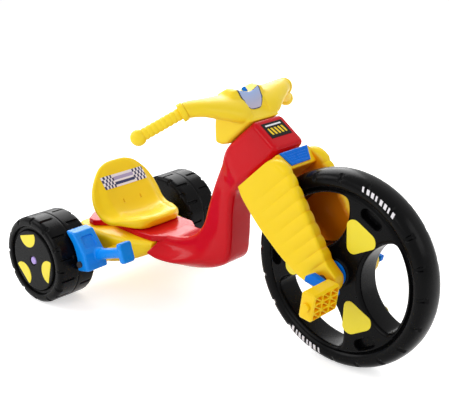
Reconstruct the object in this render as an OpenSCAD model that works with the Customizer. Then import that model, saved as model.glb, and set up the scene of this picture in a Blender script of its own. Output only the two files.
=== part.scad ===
// Low rider pedal tricycle: moulded body, big front wheel on a raked fork, two wide rear wheels.
// +X is forward, +Y is the rider's left, +Z is up, in millimetres.
// The origin is on the ground, under the middle of the length and of the width.

/* [Layout] */
// Distance from the rear axle to the front hub
wheelbase = 678; // [660:1:700]
// Distance between the middles of the rear wheels
track = 406; // [396:1:430]
// Angle of the steering axis above the ground
steer_angle = 47.5; // [46:0.5:49]

/* [Front wheel] */
// Radius of the front tyre
front_r = 202; // [195:1:206]
// Width of the front tyre
tyre_w = 66; // [60:1:74]
// Radial depth of the front tyre
tyre_depth = 41; // [36:1:46]
// Thickness of the web between hub and tyre
web_w = 62; // [56:1:64]
// Radius at which the three windows are centred
window_c = 150; // [144:1:156]
// Radius of each window
window_r = 96; // [88:1:98]
// Land between the windows and the tyre
window_land = 2; // [1:0.5:6]
// Number of shoulder notches on each side of the front tyre
front_notches = 20; // [12:1:24]

/* [Rear wheels] */
// Radius of the rear tyres
rear_r = 101; // [96:1:104]
// Width of each rear tyre
rear_w = 102; // [94:1:108]
// Radius of the ring groove in the outer face
groove_r = 82; // [76:1:84]
// Depth of the ring groove in the outer face
groove_deep = 8; // [5:1:12]
// Number of tread slots in each half of the tread
rear_slots = 12; // [8:1:16]
// Diameter of the rear axle
rear_axle_d = 10; // [8:0.5:12]

/* [Fork] */
// Gap between the front tyre and the underside of the crown
crown_gap = 11; // [8:0.5:22]
// Distance between the legs' inner faces
fork_gap = 92; // [90:1:98]
// Thickness of each leg
leg_t = 28; // [22:1:30]
// Thickness of the crown
crown_t = 38; // [30:1:39]
// Reach of the legs behind the steering axis
fork_back = 78; // [70:1:84]
// Reach of the legs in front of the steering axis
fork_front = 62; // [56:1:68]
// Reach of the crown in front of the steering axis
crown_front = 43; // [38:1:46]
// Number of cross ribs on each leg
fork_ribs = 7; // [5:1:9]
// Diameter of the steering post
post_d = 16; // [14:0.5:18]

/* [Crank] */
// Diameter of the crank axle
crank_axle_d = 12; // [10:0.5:14]
// Distance from the crank axle to a pedal spindle
crank_r = 41; // [38:1:50]
// Angle of the right crank below straight forward
crank_drop = 13; // [0:1:60]
// Width of a crank arm
crank_w = 24; // [20:1:28]
// Thickness of a crank arm
crank_t = 13; // [10:1:16]
// Length of a pedal along its spindle
pedal_l = 77; // [66:1:84]
// Height of a pedal across its treads
pedal_h = 55; // [46:1:60]
// Thickness of a pedal
pedal_t = 30; // [26:1:34]
// Diameter of a pedal spindle
spindle_d = 8; // [6:0.5:10]

/* [Body] */
// Height of the head along the steering axis
head_h = 82; // [76:1:88]
// Width of the head
head_w = 92; // [84:1:100]
// Reach of the head's foot in front of the steering axis
head_front = 39; // [34:1:44]
// Height of the neck where it meets the head
neck_h = 400; // [392:1:408]
// Width of the body over the side flares
body_w = 184; // [170:1:198]
// Height of the deck under the seat
deck_z = 159; // [156:1:164]
// Thickness of the spine under the seat
spine_t = 14; // [10:1:18]
// Width of the rear frame
rear_frame_w = 216; // [204:1:224]
// Depth of the rear frame under the spine
rear_frame_h = 78; // [72:1:84]
// Reach of the rear frame behind the rear axle
rear_frame_tail = 28; // [22:1:36]

/* [Seat] */
// Width of the seat pan
seat_w = 200; // [188:1:212]
// Length of the seat, from its front lip to its back
seat_l = 166; // [156:1:172]
// Height of the seat back above the deck
seat_h = 125; // [114:1:136]
// Thickness of the seat's wall
seat_t = 14; // [10:1:16]

/* [Handlebar] */
// Width over the grips' ball ends
bar_w = 485; // [469:1:501]
// Distance from the middle to each elbow
elbow_y = 150; // [144:1:156]
// Height of the elbows above the console's foot, along the steering axis
elbow_h = 74; // [68:1:80]
// Width of the console
console_w = 100; // [92:1:110]
// Height of the console above the head
console_h = 104; // [98:1:110]
// Reach of the console behind the steering axis
console_back = 110; // [100:1:118]
// Diameter of the grips
grip_d = 25; // [22:0.5:28]
// Diameter of the ball at the end of a grip
ball_d = 33; // [29:0.5:36]

/* [Brake] */
// Width of the brake block
block_w = 58; // [50:1:66]
// Gap between the brake block and the tyre at rest
block_gap = 4; // [3.5:0.25:6]
// Diameter of the brake bolt
brake_bolt_d = 7; // [6:0.5:8]
// Length of the brake handle in front of its block
handle_l = 112; // [100:1:120]

/* [Hidden] */
$fn = 64;

// Colours of the mouldings and of the metal
red = [0.78, 0.03, 0.06];
yellow = [0.99, 0.83, 0.06];
lemon = [0.97, 0.90, 0.16];
blue = [0.05, 0.36, 0.80];
black = [0.05, 0.05, 0.055];
lilac = [0.66, 0.55, 0.86];
steel = [0.70, 0.71, 0.72];

// How far each cut runs past the faces it opens
overrun = 2;
// Radial clearance of everything that turns on a pin
run_fit = 0.05;
// Clearance of parts that are set in or beside each other
seat_fit = 0.3;
// Room between parts that pass each other
pass_gap = 2;

// Sides of the tricycle
left = 1;
right = -1;

// Where the rear axle stands, so that the length is centred on the origin
rear_x = -(wheelbase + front_r - rear_r) / 2;

// Fork and the steering stack above it, as heights over the hub along the steering axis
leg_in = fork_gap / 2;
leg_y = leg_in + leg_t;
crown_s = front_r + crown_gap;
fork_h = crown_s + crown_t;
head_s = fork_h + pass_gap;
head_top_s = head_s + head_h;
bar_s = head_top_s + pass_gap;
swing_r = norm([fork_back, leg_y]) + pass_gap;

// Bushes in the head and in the fork legs
bush_wall = 3;
flange_t = 2;
post_bush_l = head_h / 4;
post_bush_d = post_d + 2 * run_fit + 2 * bush_wall;
axle_bush_d = crank_axle_d + 2 * run_fit + 2 * bush_wall;
axle_flange_d = axle_bush_d + 4 * flange_t;
bush_end_y = leg_y + 4 * flange_t;
washer_t = pass_gap - 2 * seat_fit;
washer_d = post_d * 2.6;

// Steering post, pressed into the handlebar and held by a nut in the crown's foot
post_top_s = bar_s + console_h / 2;
nut_t = post_d / 2;
nut_d = post_d * 1.7;
nut_s = crown_s + nut_t / 2;
post_low_s = crown_s + seat_fit;

// Side outline of a fork leg: reach from the steering axis as shares of fork_back behind it and
// of fork_front before it, and heights as shares of fork_h
leg_back_shares = [[0.90, 1.00], [1.00, 0.88], [1.00, 0.64], [0.93, 0.47], [0.85, 0.32], [0.66, 0.12]];
leg_front_shares = [[1.00, 0.83], [0.95, 0.89], [0.84, 0.94], [0.66, 0.98], [0.42, 1.00]];
leg_foot_share = 0.42;
// Places through the leg's thickness from its inner face, with the front and rear edge set in
leg_round_shares = [[0, 0.50, 0.20], [0.20, 0.26, 0.06], [0.55, 0.13, 0], [0.85, 0.26, 0.06],
    [1, 0.45, 0.20]];
leg_end_r = crank_axle_d * 2.6;
rib_bump = 3;
rib_deep = 2;
rib_low_share = 0.10;
rib_high_share = 0.80;
crown_back_share = 0.88;

// Head sections: reach of the top and height of the top, reach of the foot and height of the
// foot, as shares of head_front and head_h, and the corner radius as a share of head_w
head_shares = [
    [0.72, 0.98, 1.00, 0.16, 0.10],
    [0.64, 1.00, 1.04, 0.06, 0.13],
    [-0.26, 1.02, 0.20, 0.00, 0.15],
    [-1.15, 1.03, -1.20, 0.00, 0.16],
    [-2.00, 0.98, -2.40, 0.00, 0.16]];
// Neck and deck sections: rear edge and front edge as shares of wheelbase and neck_h, half widths
// at the rear edge, at the flare and at the front edge as shares of half of body_w, the place of
// the flare between the edges, and the corner radius as a share of head_w
neck_shares = [
    [0.555, 0.898, 0.612, 0.750, 0.39, 0.43, 0.41, 0.60, 0.15],
    [0.531, 0.805, 0.602, 0.675, 0.38, 0.43, 0.41, 0.60, 0.14],
    [0.512, 0.718, 0.599, 0.620, 0.38, 0.43, 0.41, 0.60, 0.13],
    [0.494, 0.625, 0.597, 0.550, 0.38, 0.43, 0.41, 0.60, 0.13],
    [0.478, 0.535, 0.594, 0.450, 0.40, 0.44, 0.41, 0.60, 0.13],
    [0.451, 0.472, 0.583, 0.358, 0.43, 0.47, 0.41, 0.60, 0.13],
    [0.420, 0.446, 0.534, 0.300, 0.45, 0.54, 0.40, 0.62, 0.13],
    [0.386, 0.431, 0.469, 0.262, 0.46, 0.68, 0.40, 0.64, 0.12],
    [0.354, 0.417, 0.404, 0.243, 0.48, 0.83, 0.44, 0.65, 0.11],
    [0.322, 0.406, 0.348, 0.253, 0.52, 0.95, 0.56, 0.65, 0.10],
    [0.299, 0.398, 0.307, 0.280, 0.57, 1.00, 0.72, 0.65, 0.09]];
body_steps = 3;

// Spine under the seat: places as shares of the distance from the rear axle to the body's tail,
// and half widths as shares of half of body_w
tail_share = 0.299;
tail_x = wheelbase * tail_share;
spine_shares = [[1.12, 0.46], [0.96, 0.72], [0.76, 0.74], [0.26, 0.66], [0.11, 0.98], [0.00, 0.95],
    [-0.12, 0.58]];
spine_z = deck_z - spine_t;

// Rear frame sections: places as shares of tail_x, depths as shares of rear_frame_h and half
// widths as shares of half of rear_frame_w
rear_frame_shares = [[0.97, 0.34, 0.68], [0.81, 0.56, 0.82], [0.64, 0.73, 0.94], [0.44, 0.88, 1.00],
    [0.20, 0.98, 1.00], [-0.04, 0.97, 0.98]];
rear_frame_end_share = 0.86;
rear_frame_r = rear_frame_h / 6;

// Rear axle and wheels
wheel_in = (track - rear_w) / 2;
wheel_out = wheel_in + rear_w;
shoulder_r = rear_w / 9;
hub_boss_r = rear_axle_d * 2.2;
axle_washer_t = 2;
axle_washer_d = rear_axle_d * 2.4;
washer_y = rear_frame_w / 2 + seat_fit;
hub_in = washer_y + axle_washer_t + seat_fit;
socket_r = rear_axle_d * 1.1;
socket_y = wheel_out - rear_axle_d;
cap_t = rear_axle_d * 0.9;
cap_r = rear_axle_d * 0.9;
axle_end = socket_y + cap_t / 2;
groove_slope = groove_deep / 3;
disc_r = groove_r - groove_deep * 1.5;
disc_y = wheel_out - axle_washer_t / 2;

// Tread cuts
slot_t = 5;
slot_deep = 4;
slot_l = rear_w / 3;
lug_t = 8;
seam_t = 2.5;
seam_deep = 1.5;
notch_t = 9;
notch_deep = 5;
notch_l = tyre_w / 6;

// Badges let into the wheels: places along a spoke, half width and corner radii
badge_t = 2.5;
badge_deep = 2;
front_badge = [73, 106, 18, 14, 18];
rear_badge = [45, 51, 19, 15, 9.5];
rear_badge_turn = -106.5;
oval_c = 148;
oval_half = 14;
oval_r = 10.5;
oval_deep = 14;

// Roundness of the tyre's section
tyre_round = 2.2;

// Front hub
hub_r = 33;
hub_y = web_w / 2 + hub_r / 8;
hub_end_y = leg_in - flange_t - seat_fit;
hub_flange_r = 27;
hub_flange_t = (hub_end_y - hub_y) / 2;

// Crank and pedals
crank_y = bush_end_y + seat_fit;
crank_out = crank_y + crank_t;
crank_tail = crank_w * 1.1;
axle_tip_y = crank_out - crank_t / 4;
pedal_in = crank_out + pass_gap;
pedal_out = pedal_in + pedal_l;
spindle_root = crank_y + crank_t / 4;
spindle_cap_d = spindle_d * 2;
spindle_cap_t = spindle_d * 0.7;
pedal_turn = 8;
pedal_r = pedal_t / 5;
waffle_rows = 3;
waffle_rib = 6;
waffle_deep = 7;

// Fasteners
bolt_d = 6;
bolt_head_d = 12;
bolt_head_t = 4;
frame_bolt_shares = [[0.04, 0.30], [0.04, -0.30]];
seat_bolt_shares = [[0.55, 0.30], [0.55, -0.30]];
bolt_bite = 16;
dowel_d = 8;
dowel_l = 56;
dowel_shares = [-0.66, 0.30];

// Seat: places along the seat as shares of seat_l back from its lip, heights over the deck as
// shares of seat_h, half widths, and as shares of seat_t the dish, the rim turned back and the wall
seat_front_share = 0.81;
seat_front_x = tail_x * seat_front_share;
seat_shares = [
    [0.000, 0.100, 0.30, 0.0, 0.0, 0.90],
    [0.020, 0.108, 0.47, 0.1, 0.1, 1.60],
    [0.075, 0.110, 0.62, 0.3, 0.3, 1.85],
    [0.180, 0.092, 0.75, 0.8, 0.7, 1.55],
    [0.340, 0.066, 0.88, 1.2, 0.9, 1.10],
    [0.490, 0.088, 0.97, 1.0, 1.1, 1.05],
    [0.615, 0.205, 1.01, 0.7, 1.3, 1.00],
    [0.710, 0.375, 1.02, 0.5, 1.2, 1.00],
    [0.801, 0.562, 0.95, 0.5, 1.0, 1.00],
    [0.885, 0.742, 0.80, 0.4, 0.6, 1.00],
    [0.960, 0.906, 0.57, 0.2, 0.2, 0.85],
    [0.994, 0.980, 0.36, 0.0, 0.0, 0.55],
    [1.006, 1.004, 0.16, 0.0, 0.0, 0.35]];
seat_steps = 2;
// Places across the seat, as shares of its half width
seat_cell_shares = [-1, -0.93, -0.82, -0.66, -0.36, 0, 0.36, 0.66, 0.82, 0.93, 1];
rim_share = 0.66;
seat_slot_share = 0.26;
seat_slot_w = 9;
seat_slot_t = 4;
seat_slot_tilt = 40;
seat_slot = [seat_front_x - seat_l * 0.66, deck_z + seat_h * 0.29];
seat_bolt_h = deck_z - spine_z + seat_h * 0.06;

// Console outline in the steering frame: reach as shares of console_back, height as shares of
// console_h
console_shares = [[0.25, 0.00], [0.16, 0.28], [0.245, 0.70], [0.10, 0.86], [-0.13, 0.91],
    [-0.49, 0.55], [-0.79, 0.18], [-0.70, 0.07], [-0.55, 0.00]];
// Console sections: places across the width, outline scale and height of the top
console_ring_shares = [[-1.00, 0.72, 0.90], [-0.96, 0.88, 0.97], [-0.86, 0.96, 1.00], [-0.62, 1.00, 0.99],
    [0.00, 1.00, 0.86], [0.62, 1.00, 0.99], [0.86, 0.96, 1.00], [0.96, 0.88, 0.97], [1.00, 0.72, 0.90]];
console_mid_shares = [-0.30, 0.45];
// Arm sections: place out to the elbow, reach from the axis as a share of console_back, height as
// a share of elbow_h, then half thickness, half height and forward lean as shares of grip_d
arm_shares = [[0.18, 0.02, 0.640, 0.92, 1.58, 0.50], [0.36, 0.03, 0.645, 0.88, 1.56, 0.50],
    [0.56, 0.01, 0.761, 0.82, 1.26, 0.42], [0.77, -0.03, 0.900, 0.74, 0.93, 0.30],
    [0.915, -0.08, 0.983, 0.70, 0.77, 0.12], [1.00, -0.105, 1.00, 0.70, 0.70, 0.00]];
arm_sides = 16;
arm_steps = 3;
grip_back = 72;
grip_way = [-grip_back, (bar_w - ball_d) / 2 - elbow_y, 0];
arm_turn_share = 0.6;
spigot_d = 14;
spigot_l = 64;
collar_d = 38;
collar_t = 11;
grip_rings = 8;
ring_deep = 1.5;
knob_d = 10;
knob_t = 5;
knob_share = 0.15;
knob_h_share = 0.66;

// Grille plate on the crown
grille_t = 4;
grille_top = 43;
grille_low = 29;
grille_h = 31;
grille_bars = 5;
grille_bar_deep = 1.2;

// Brake lever
pivot_x = rear_r * 1.15;
pivot_z = rear_r * 1.11;
block_top_angle = 49;
block_low_angle = -5;
block_steps = 12;
block_in = wheel_in + seat_fit;
block_out = block_in + block_w;
block_front = [rear_r * 1.41, rear_r * 0.99];
block_knee = [rear_r * 1.31, rear_r * 1.36];
block_head = [rear_r * 0.95, rear_r * 1.78];
block_pocket_deep = 3;
handle_d = 25;
handle_y = block_in + block_w * 0.3;
handle_tilt = 18;
plate_w = 34;
plate_h = 46;
plate_t = 15;
pocket_at = (block_head + block_knee) / 2;
pocket_tilt = -atan2(block_knee.x - block_head.x, block_head.y - block_knee.y);
boss_r = brake_bolt_d * 2;
bolt_root_y = rear_frame_w / 2 - 4 * brake_bolt_d;
brake_head_d = 14;
brake_head_t = 5;

// Stands a piece in the shared frame, from the rear axle's foot
module stand() {
    translate([rear_x, 0, 0]) children();
}

// Stands a piece at the front hub
module at_hub() {
    stand() translate([wheelbase, 0, front_r]) children();
}

// Stands a piece in the steering frame: +Z along the steering axis, the hub at zero
module at_steering() {
    at_hub() rotate([0, steer_angle - 90, 0]) children();
}

// Stands a piece at a crank's spindle
module at_spindle(side) {
    reach = -side * crank_r;
    at_hub() translate([reach * cos(crank_drop), 0, -reach * sin(crank_drop)]) children();
}

// Stands a piece at the rear axle
module at_rear_axle() {
    stand() translate([0, 0, rear_r]) children();
}

// Turns a left piece into its right twin
module on_side(side) {
    mirror([0, side == right ? 1 : 0, 0]) children();
}

// Round bar along Y
module bar(d, y0, y1) {
    translate([0, y0, 0]) rotate([-90, 0, 0]) cylinder(d = d, h = y1 - y0);
}

// Flat outline in X and Z, made solid from y0 to y1
module slab(y0, y1) {
    translate([0, y1, 0]) rotate([90, 0, 0]) linear_extrude(y1 - y0) children();
}

// Body of revolution about Y, from an outline of radius and y
module turned() {
    rotate([-90, 0, 0]) rotate_extrude() children();
}

function mix(a, b, t) = a + (b - a) * t;
function ease(t) = t * t * (3 - 2 * t);
function bend(v, n) = sign(v) * pow(abs(v), 2 / n);

// Smooth curve through rows of numbers
function knot(p, i) = i < 0 ? 2 * p[0] - p[1]
    : i > len(p) - 1 ? 2 * p[len(p) - 1] - p[len(p) - 2] : p[i];
function between(a, b, c, d, t) = (2 * b + (c - a) * t + (2 * a - 5 * b + 4 * c - d) * t * t
    + (3 * b - a - 3 * c + d) * t * t * t) / 2;
function spline(p, n) = [for (i = [0 : len(p) - 2], j = [0 : i == len(p) - 2 ? n : n - 1])
    between(knot(p, i - 1), p[i], p[i + 1], knot(p, i + 2), j / n)];

// Place in X and Z of a reach and a height in the steering frame
function steered(reach, height) = [
    wheelbase - height * cos(steer_angle) + reach * sin(steer_angle),
    front_r + height * sin(steer_angle) + reach * cos(steer_angle)];

// Closed solid over rings of points, each ring the same count, with a fan over each end
module skin(rings) {
    n = len(rings[0]);
    m = len(rings);
    sides = [for (i = [0 : m - 2], j = [0 : n - 1]) let (k = (j + 1) % n)
        each [[i * n + j, (i + 1) * n + k, i * n + k], [i * n + j, (i + 1) * n + j, (i + 1) * n + k]]];
    ends = [for (j = [0 : n - 1]) let (k = (j + 1) % n)
        each [[m * n, j, k], [m * n + 1, (m - 1) * n + k, (m - 1) * n + j]]];
    polyhedron([each [for (r = rings) each r], centre(rings[0]), centre(rings[m - 1])],
        concat(sides, ends), convexity = 6);
}

// Middle of a ring
function centre(ring) = [for (p = ring) 1] * ring / len(ring);

// Half width of a body section at t between its rear edge and its front edge
function flared(s, t) = t < s[7] ? mix(s[4], s[5], ease(t / s[7]))
    : mix(s[5], s[6], ease((t - s[7]) / (1 - s[7])));

// Half of a section: places t and half widths, with rounded corners of radius s[8]
function half_section(s) = let (
    l = norm([s[2] - s[0], s[3] - s[1]]),
    r = min(s[8], l * 0.45),
    low = [for (a = [0 : 30 : 90]) [(1 - cos(a)) * r / l, r * (1 - sin(a))]],
    mid = [for (i = [1 : 4]) [mix(r / l, 1 - r / l, i / 5), 0]],
    high = [for (a = [90 : -30 : 0]) [1 - (1 - cos(a)) * r / l, r * (1 - sin(a))]])
    [for (q = concat(low, mid, high)) [q[0], flared(s, q[0]) - q[1]]];

// Ring of points of a body section
function section(s) = let (half = half_section(s), n = len(half))
    [for (i = [0 : 2 * n - 1]) let (q = half[i < n ? i : 2 * n - 1 - i], w = i < n ? q[1] : -q[1])
        [mix(s[0], s[2], q[0]), w, mix(s[1], s[3], q[0])]];

function head_rows() = [for (h = head_shares) let (
    top = steered(h[0] * head_front, head_s + h[1] * head_h),
    foot = steered(h[2] * head_front, head_s + h[3] * head_h), w = head_w / 2)
    [top[0], top[1], foot[0], foot[1], w, w, w, 0.5, h[4] * head_w]];

function neck_rows() = [for (b = neck_shares) let (w = body_w / 2)
    [b[0] * wheelbase, b[1] * neck_h, b[2] * wheelbase, b[3] * neck_h,
        b[4] * w, b[5] * w, b[6] * w, b[7], b[8] * head_w]];

// Red body: head, neck, deck with side flares, and the spine under the seat
module main_frame() {
    color(red) difference() {
        stand() {
            skin([for (s = spline(concat(head_rows(), neck_rows()), body_steps)) section(s)]);
            translate([0, 0, spine_z]) linear_extrude(spine_t) spine_outline();
        }
        at_steering() head_cuts();
        at_bolts(concat(frame_bolt_shares, seat_bolt_shares)) spine_hole();
    }
}

// Plan of the spine
module spine_outline() {
    near = [for (q = spine_shares) [q[0] * tail_x, q[1] * body_w / 2]];
    far = [for (i = [len(near) - 1 : -1 : 0]) [near[i][0], -near[i][1]]];
    polygon(concat(near, far));
}

// What is taken out of the head: the post's bore, the bush seats and room for fork and handlebar
module head_cuts() {
    translate([0, 0, head_s - overrun]) cylinder(d = post_d + bush_wall, h = head_h + 2 * overrun);
    for (s = [head_s - overrun, head_top_s - post_bush_l])
        translate([0, 0, s]) cylinder(d = post_bush_d, h = post_bush_l + overrun);
    translate([0, 0, crown_s - crown_t]) cylinder(r = swing_r, h = head_s - crown_s + crown_t);
    translate([0, 0, head_top_s]) cylinder(r = swing_r + head_w / 2, h = head_h);
}

// Stands a piece over each bolt, at the spine's underside
module at_bolts(places) {
    for (q = places)
        stand() translate([q[0] * tail_x, q[1] * rear_frame_w / 2, spine_z]) children();
}

module spine_hole() {
    translate([0, 0, -overrun]) cylinder(d = bolt_d + 2 * run_fit, h = spine_t + 2 * overrun);
}

// Yellow cradle under the spine, with the axle's bore and the boss of the brake bolt
module rear_frame() {
    rows = concat(
        [for (q = rear_frame_shares) rear_frame_row(q[0] * tail_x, q[1], q[2])],
        [rear_frame_row(-rear_frame_tail, rear_frame_end_share, rear_frame_end_share)]);
    color(yellow) difference() {
        union() {
            stand() skin([for (s = spline(rows, 2)) section(s)]);
            at_pivot() bar(2 * boss_r, -wheel_in, -rear_frame_w / 2 + boss_r);
        }
        at_rear_axle() bar(rear_axle_d + 2 * run_fit, -rear_frame_w, rear_frame_w);
        at_pivot() bar(brake_bolt_d + 2 * run_fit, -wheel_in - overrun, -bolt_root_y);
        at_bolts(frame_bolt_shares) translate([0, 0, -bolt_bite])
            cylinder(d = bolt_d + 2 * run_fit, h = bolt_bite + overrun);
        at_bolts(seat_bolt_shares) {
            translate([0, 0, -rear_frame_h]) cylinder(d = bolt_d + 2 * run_fit, h = rear_frame_h + overrun);
            translate([0, 0, -rear_frame_h])
                cylinder(d = bolt_head_d + 2 * seat_fit, h = rear_frame_h - bolt_bite);
        }
    }
}

function rear_frame_row(x, depth, width) = let (w = width * rear_frame_w / 2)
    [x, spine_z, x, spine_z - depth * rear_frame_h, w, w, w, 0.5, rear_frame_r];

// Yellow bucket seat, a wall of even thickness with rounded rims
module seat() {
    color(yellow) difference() {
        stand() skin([for (q = seat_path()) seat_ring(q)]);
        at_bolts(seat_bolt_shares) cylinder(d = bolt_d + 2 * run_fit, h = seat_bolt_h + seat_fit);
        for (side = [left, right])
            stand() translate([seat_slot.x, side * seat_slot_share * seat_w / 2, seat_slot.y])
                rotate([0, seat_slot_tilt, 0])
                    cube([seat_slot_t, seat_slot_w, 3 * seat_t], center = true);
    }
}

// Rows of the seat: place, half width, dish, turned rim and wall, then the direction along it
function seat_rows() = [for (q = seat_shares) [seat_front_x - q[0] * seat_l, deck_z + q[1] * seat_h,
    q[2] * seat_w / 2, q[3] * seat_t, q[4] * seat_t, q[5] * seat_t]];
function seat_path() = let (p = spline(seat_rows(), seat_steps), n = len(p) - 1)
    [for (i = [0 : n]) let (a = p[max(i - 1, 0)], b = p[min(i + 1, n)], d = [b[0] - a[0], b[1] - a[1]])
        [p[i], d / norm(d)]];

// Ring round the seat's wall at one row: across the top, round the rim and back underneath
function seat_ring(q) = let (s = q[0], d = q[1], r = s[5] / 2, w = s[2] - r, v = seat_cell_shares)
    [for (e = concat(
        [for (i = [0 : len(v) - 1]) [w * v[i], seat_lift(s, v[i]) + r]],
        [for (a = [45, 90, 135]) [w + r * sin(a), seat_lift(s, 1) + r * cos(a)]],
        [for (i = [len(v) - 1 : -1 : 0]) [w * v[i], seat_lift(s, v[i]) - r]],
        [for (a = [135, 90, 45]) [-w - r * sin(a), seat_lift(s, 1) + r * cos(a)]]))
        [s[0] + d.y * e.y, e.x, s[1] - d.x * e.y]];
function seat_lift(s, v) = s[3] * v * v - s[4] * ease(max(0, abs(v) - rim_share) / (1 - rim_share));

// Bolts from under the rear frame into the seat
module seat_bolts() {
    color(steel) at_bolts(seat_bolt_shares) {
        translate([0, 0, -bolt_bite]) cylinder(d = bolt_d, h = bolt_bite + seat_bolt_h);
        translate([0, 0, -bolt_bite - bolt_head_t]) cylinder(d = bolt_head_d, h = bolt_head_t);
    }
}

// Bolts from the spine into the rear frame
module frame_bolts() {
    color(steel) at_bolts(frame_bolt_shares) {
        translate([0, 0, -bolt_bite]) cylinder(d = bolt_d, h = bolt_bite + spine_t);
        translate([0, 0, spine_t]) cylinder(d = bolt_head_d, h = bolt_head_t);
    }
}

module rear_axle() {
    color(steel) at_rear_axle() bar(rear_axle_d, -axle_end, axle_end);
}

module axle_washers() {
    color(steel) for (side = [left, right]) at_rear_axle() on_side(side) difference() {
        bar(axle_washer_d, washer_y, washer_y + axle_washer_t);
        bar(rear_axle_d + 2 * run_fit, washer_y - overrun, washer_y + axle_washer_t + overrun);
    }
}

// Push-on cap over an end of the rear axle
module axle_cap(side) {
    foot = socket_y + seat_fit;
    color(lilac) at_rear_axle() on_side(side) difference() {
        bar(2 * cap_r, foot, foot + cap_t);
        bar(rear_axle_d + 2 * run_fit, foot - overrun, axle_end);
    }
}

// Bush in the head, its outer wall in the head and its bore on the steering post
module steering_bush(foot) {
    color("ivory") at_steering() translate([0, 0, foot]) difference() {
        cylinder(d = post_bush_d, h = post_bush_l);
        translate([0, 0, -overrun]) cylinder(d = post_d + 2 * run_fit, h = post_bush_l + 2 * overrun);
    }
}

// Stands a piece at the brake lever's pivot
module at_pivot() {
    stand() translate([pivot_x, 0, pivot_z]) children();
}

module brake_bolt() {
    color(black) at_pivot() {
        bar(brake_bolt_d, -block_out - seat_fit, -bolt_root_y);
        bar(brake_head_d, -block_out - seat_fit - brake_head_t, -block_out - seat_fit);
    }
}

// One half of the fork: a ribbed leg and half of the crown
module fork_half(side) {
    color(yellow) at_steering() on_side(side) difference() {
        union() {
            skin([for (r = leg_rows()) leg_ring(r)]);
            slab(0, leg_in + overrun) crown_outline();
        }
        bar(axle_bush_d + 2 * run_fit, leg_in - overrun, leg_y + overrun);
        translate([0, 0, crown_s - overrun]) cylinder(d = post_d + 2 * run_fit, h = crown_t + 2 * overrun);
        translate([0, 0, crown_s - overrun])
            cylinder(d = nut_d + 2 * seat_fit, h = nut_s + nut_t - crown_s + overrun);
        at_dowels() bar(dowel_d + 2 * run_fit, -overrun, dowel_l / 2 + seat_fit);
    }
}

// Height of a rib on the leg and the leg's front there, from the foot to the shoulder
function rib_s(t) = mix(rib_low_share, rib_high_share, t) * fork_h;
function leg_front(t) = mix(leg_foot_share, 1, t) * fork_front;
function leg_back(s) = lookup(s, [for (b = leg_back_shares) [b[1] * fork_h, -b[0] * fork_back]]);

// Rows up a leg: height, rear edge, front edge, share of the rounding and depth of the groove
function leg_rows() = concat(
    [for (a = [-80 : 20 : -20]) [leg_end_r * sin(a), -leg_end_r * cos(a), leg_end_r * cos(a), 0, 0]],
    [for (i = [0 : fork_ribs - 1], j = [0 : 2]) let (t = (i + j / 3) / fork_ribs, s = rib_s(t))
        [s, leg_back(s), leg_front(t) + (j == 0 ? 0 : rib_bump), t, j == 0 ? rib_deep : 0]],
    [for (f = leg_front_shares) let (s = f[1] * fork_h) [s, leg_back(s), f[0] * fork_front, 1, 0]]);

// Ring round a leg at one row: up its front from the inner to the outer face, and back behind
function leg_ring(r) = let (n = len(leg_round_shares))
    [for (i = [0 : 2 * n - 1]) let (q = leg_round_shares[i < n ? i : 2 * n - 1 - i])
        [i < n ? r[2] - q[1] * leg_t * r[3] : r[1] + q[2] * leg_t * r[3],
            mix(leg_in, leg_y, q[0]) - r[4] * q[0], r[0]]];

module crown_outline() {
    back = -crown_back_share * fork_back;
    polygon([[back, crown_s], [crown_front, crown_s], [crown_front, fork_h], [back, fork_h]]);
}

module at_dowels() {
    for (q = dowel_shares) translate([q * fork_back, 0, fork_h - crown_t / 2]) children();
}

// Dowels across the middle of the crown
module fork_dowels() {
    color(steel) at_steering() at_dowels() bar(dowel_d, -dowel_l / 2, dowel_l / 2);
}

// Blue plate on the crown's front, narrower at its foot, with shallow cross grooves
module grille_plate() {
    top = fork_h - seat_fit;
    color(blue) at_steering() difference() {
        translate([crown_front, 0, 0]) rotate([90, 0, 90]) linear_extrude(grille_t)
            polygon([[-grille_top, top], [-grille_low, top - grille_h], [grille_low, top - grille_h],
                [grille_top, top]]);
        for (i = [1 : grille_bars])
            translate([crown_front + grille_t - grille_bar_deep, -grille_top,
                    top - i * grille_h / (grille_bars + 1)])
                cube([grille_bar_deep + overrun, 2 * grille_top, grille_bar_deep]);
    }
}

module steering_post() {
    color(steel) at_steering() translate([0, 0, post_low_s])
        cylinder(d = post_d, h = post_top_s - post_low_s);
}

// Washers under and over the head
module steering_washers() {
    color(black) at_steering() for (s = [fork_h + seat_fit, head_top_s + seat_fit])
        translate([0, 0, s]) difference() {
            cylinder(d = washer_d, h = washer_t);
            translate([0, 0, -overrun]) cylinder(d = post_d + 2 * run_fit, h = washer_t + 2 * overrun);
        }
}

module post_nut() {
    color(steel) at_steering() translate([0, 0, nut_s]) difference() {
        cylinder(d = nut_d, h = nut_t, $fn = 6);
        translate([0, 0, -overrun]) cylinder(d = post_d + 2 * run_fit, h = nut_t + 2 * overrun);
    }
}

// Console and arms in one moulding, with a spigot for each grip
module handlebar() {
    color(yellow) at_steering() difference() {
        union() {
            skin([for (q = console_ring_shares) console_ring(q)]);
            for (side = [left, right]) on_side(side) {
                skin([for (a = spline(arm_shares, arm_steps)) arm_ring(a)]);
                along_grip() translate([0, 0, -collar_t]) cylinder(d = spigot_d, h = spigot_l + collar_t);
            }
        }
        translate([0, 0, bar_s - overrun])
            cylinder(d = post_d + 2 * run_fit, h = post_top_s - bar_s + seat_fit + overrun);
        at_knob() cylinder(d = knob_d + 2 * run_fit, h = 4 * knob_t);
    }
}

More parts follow.
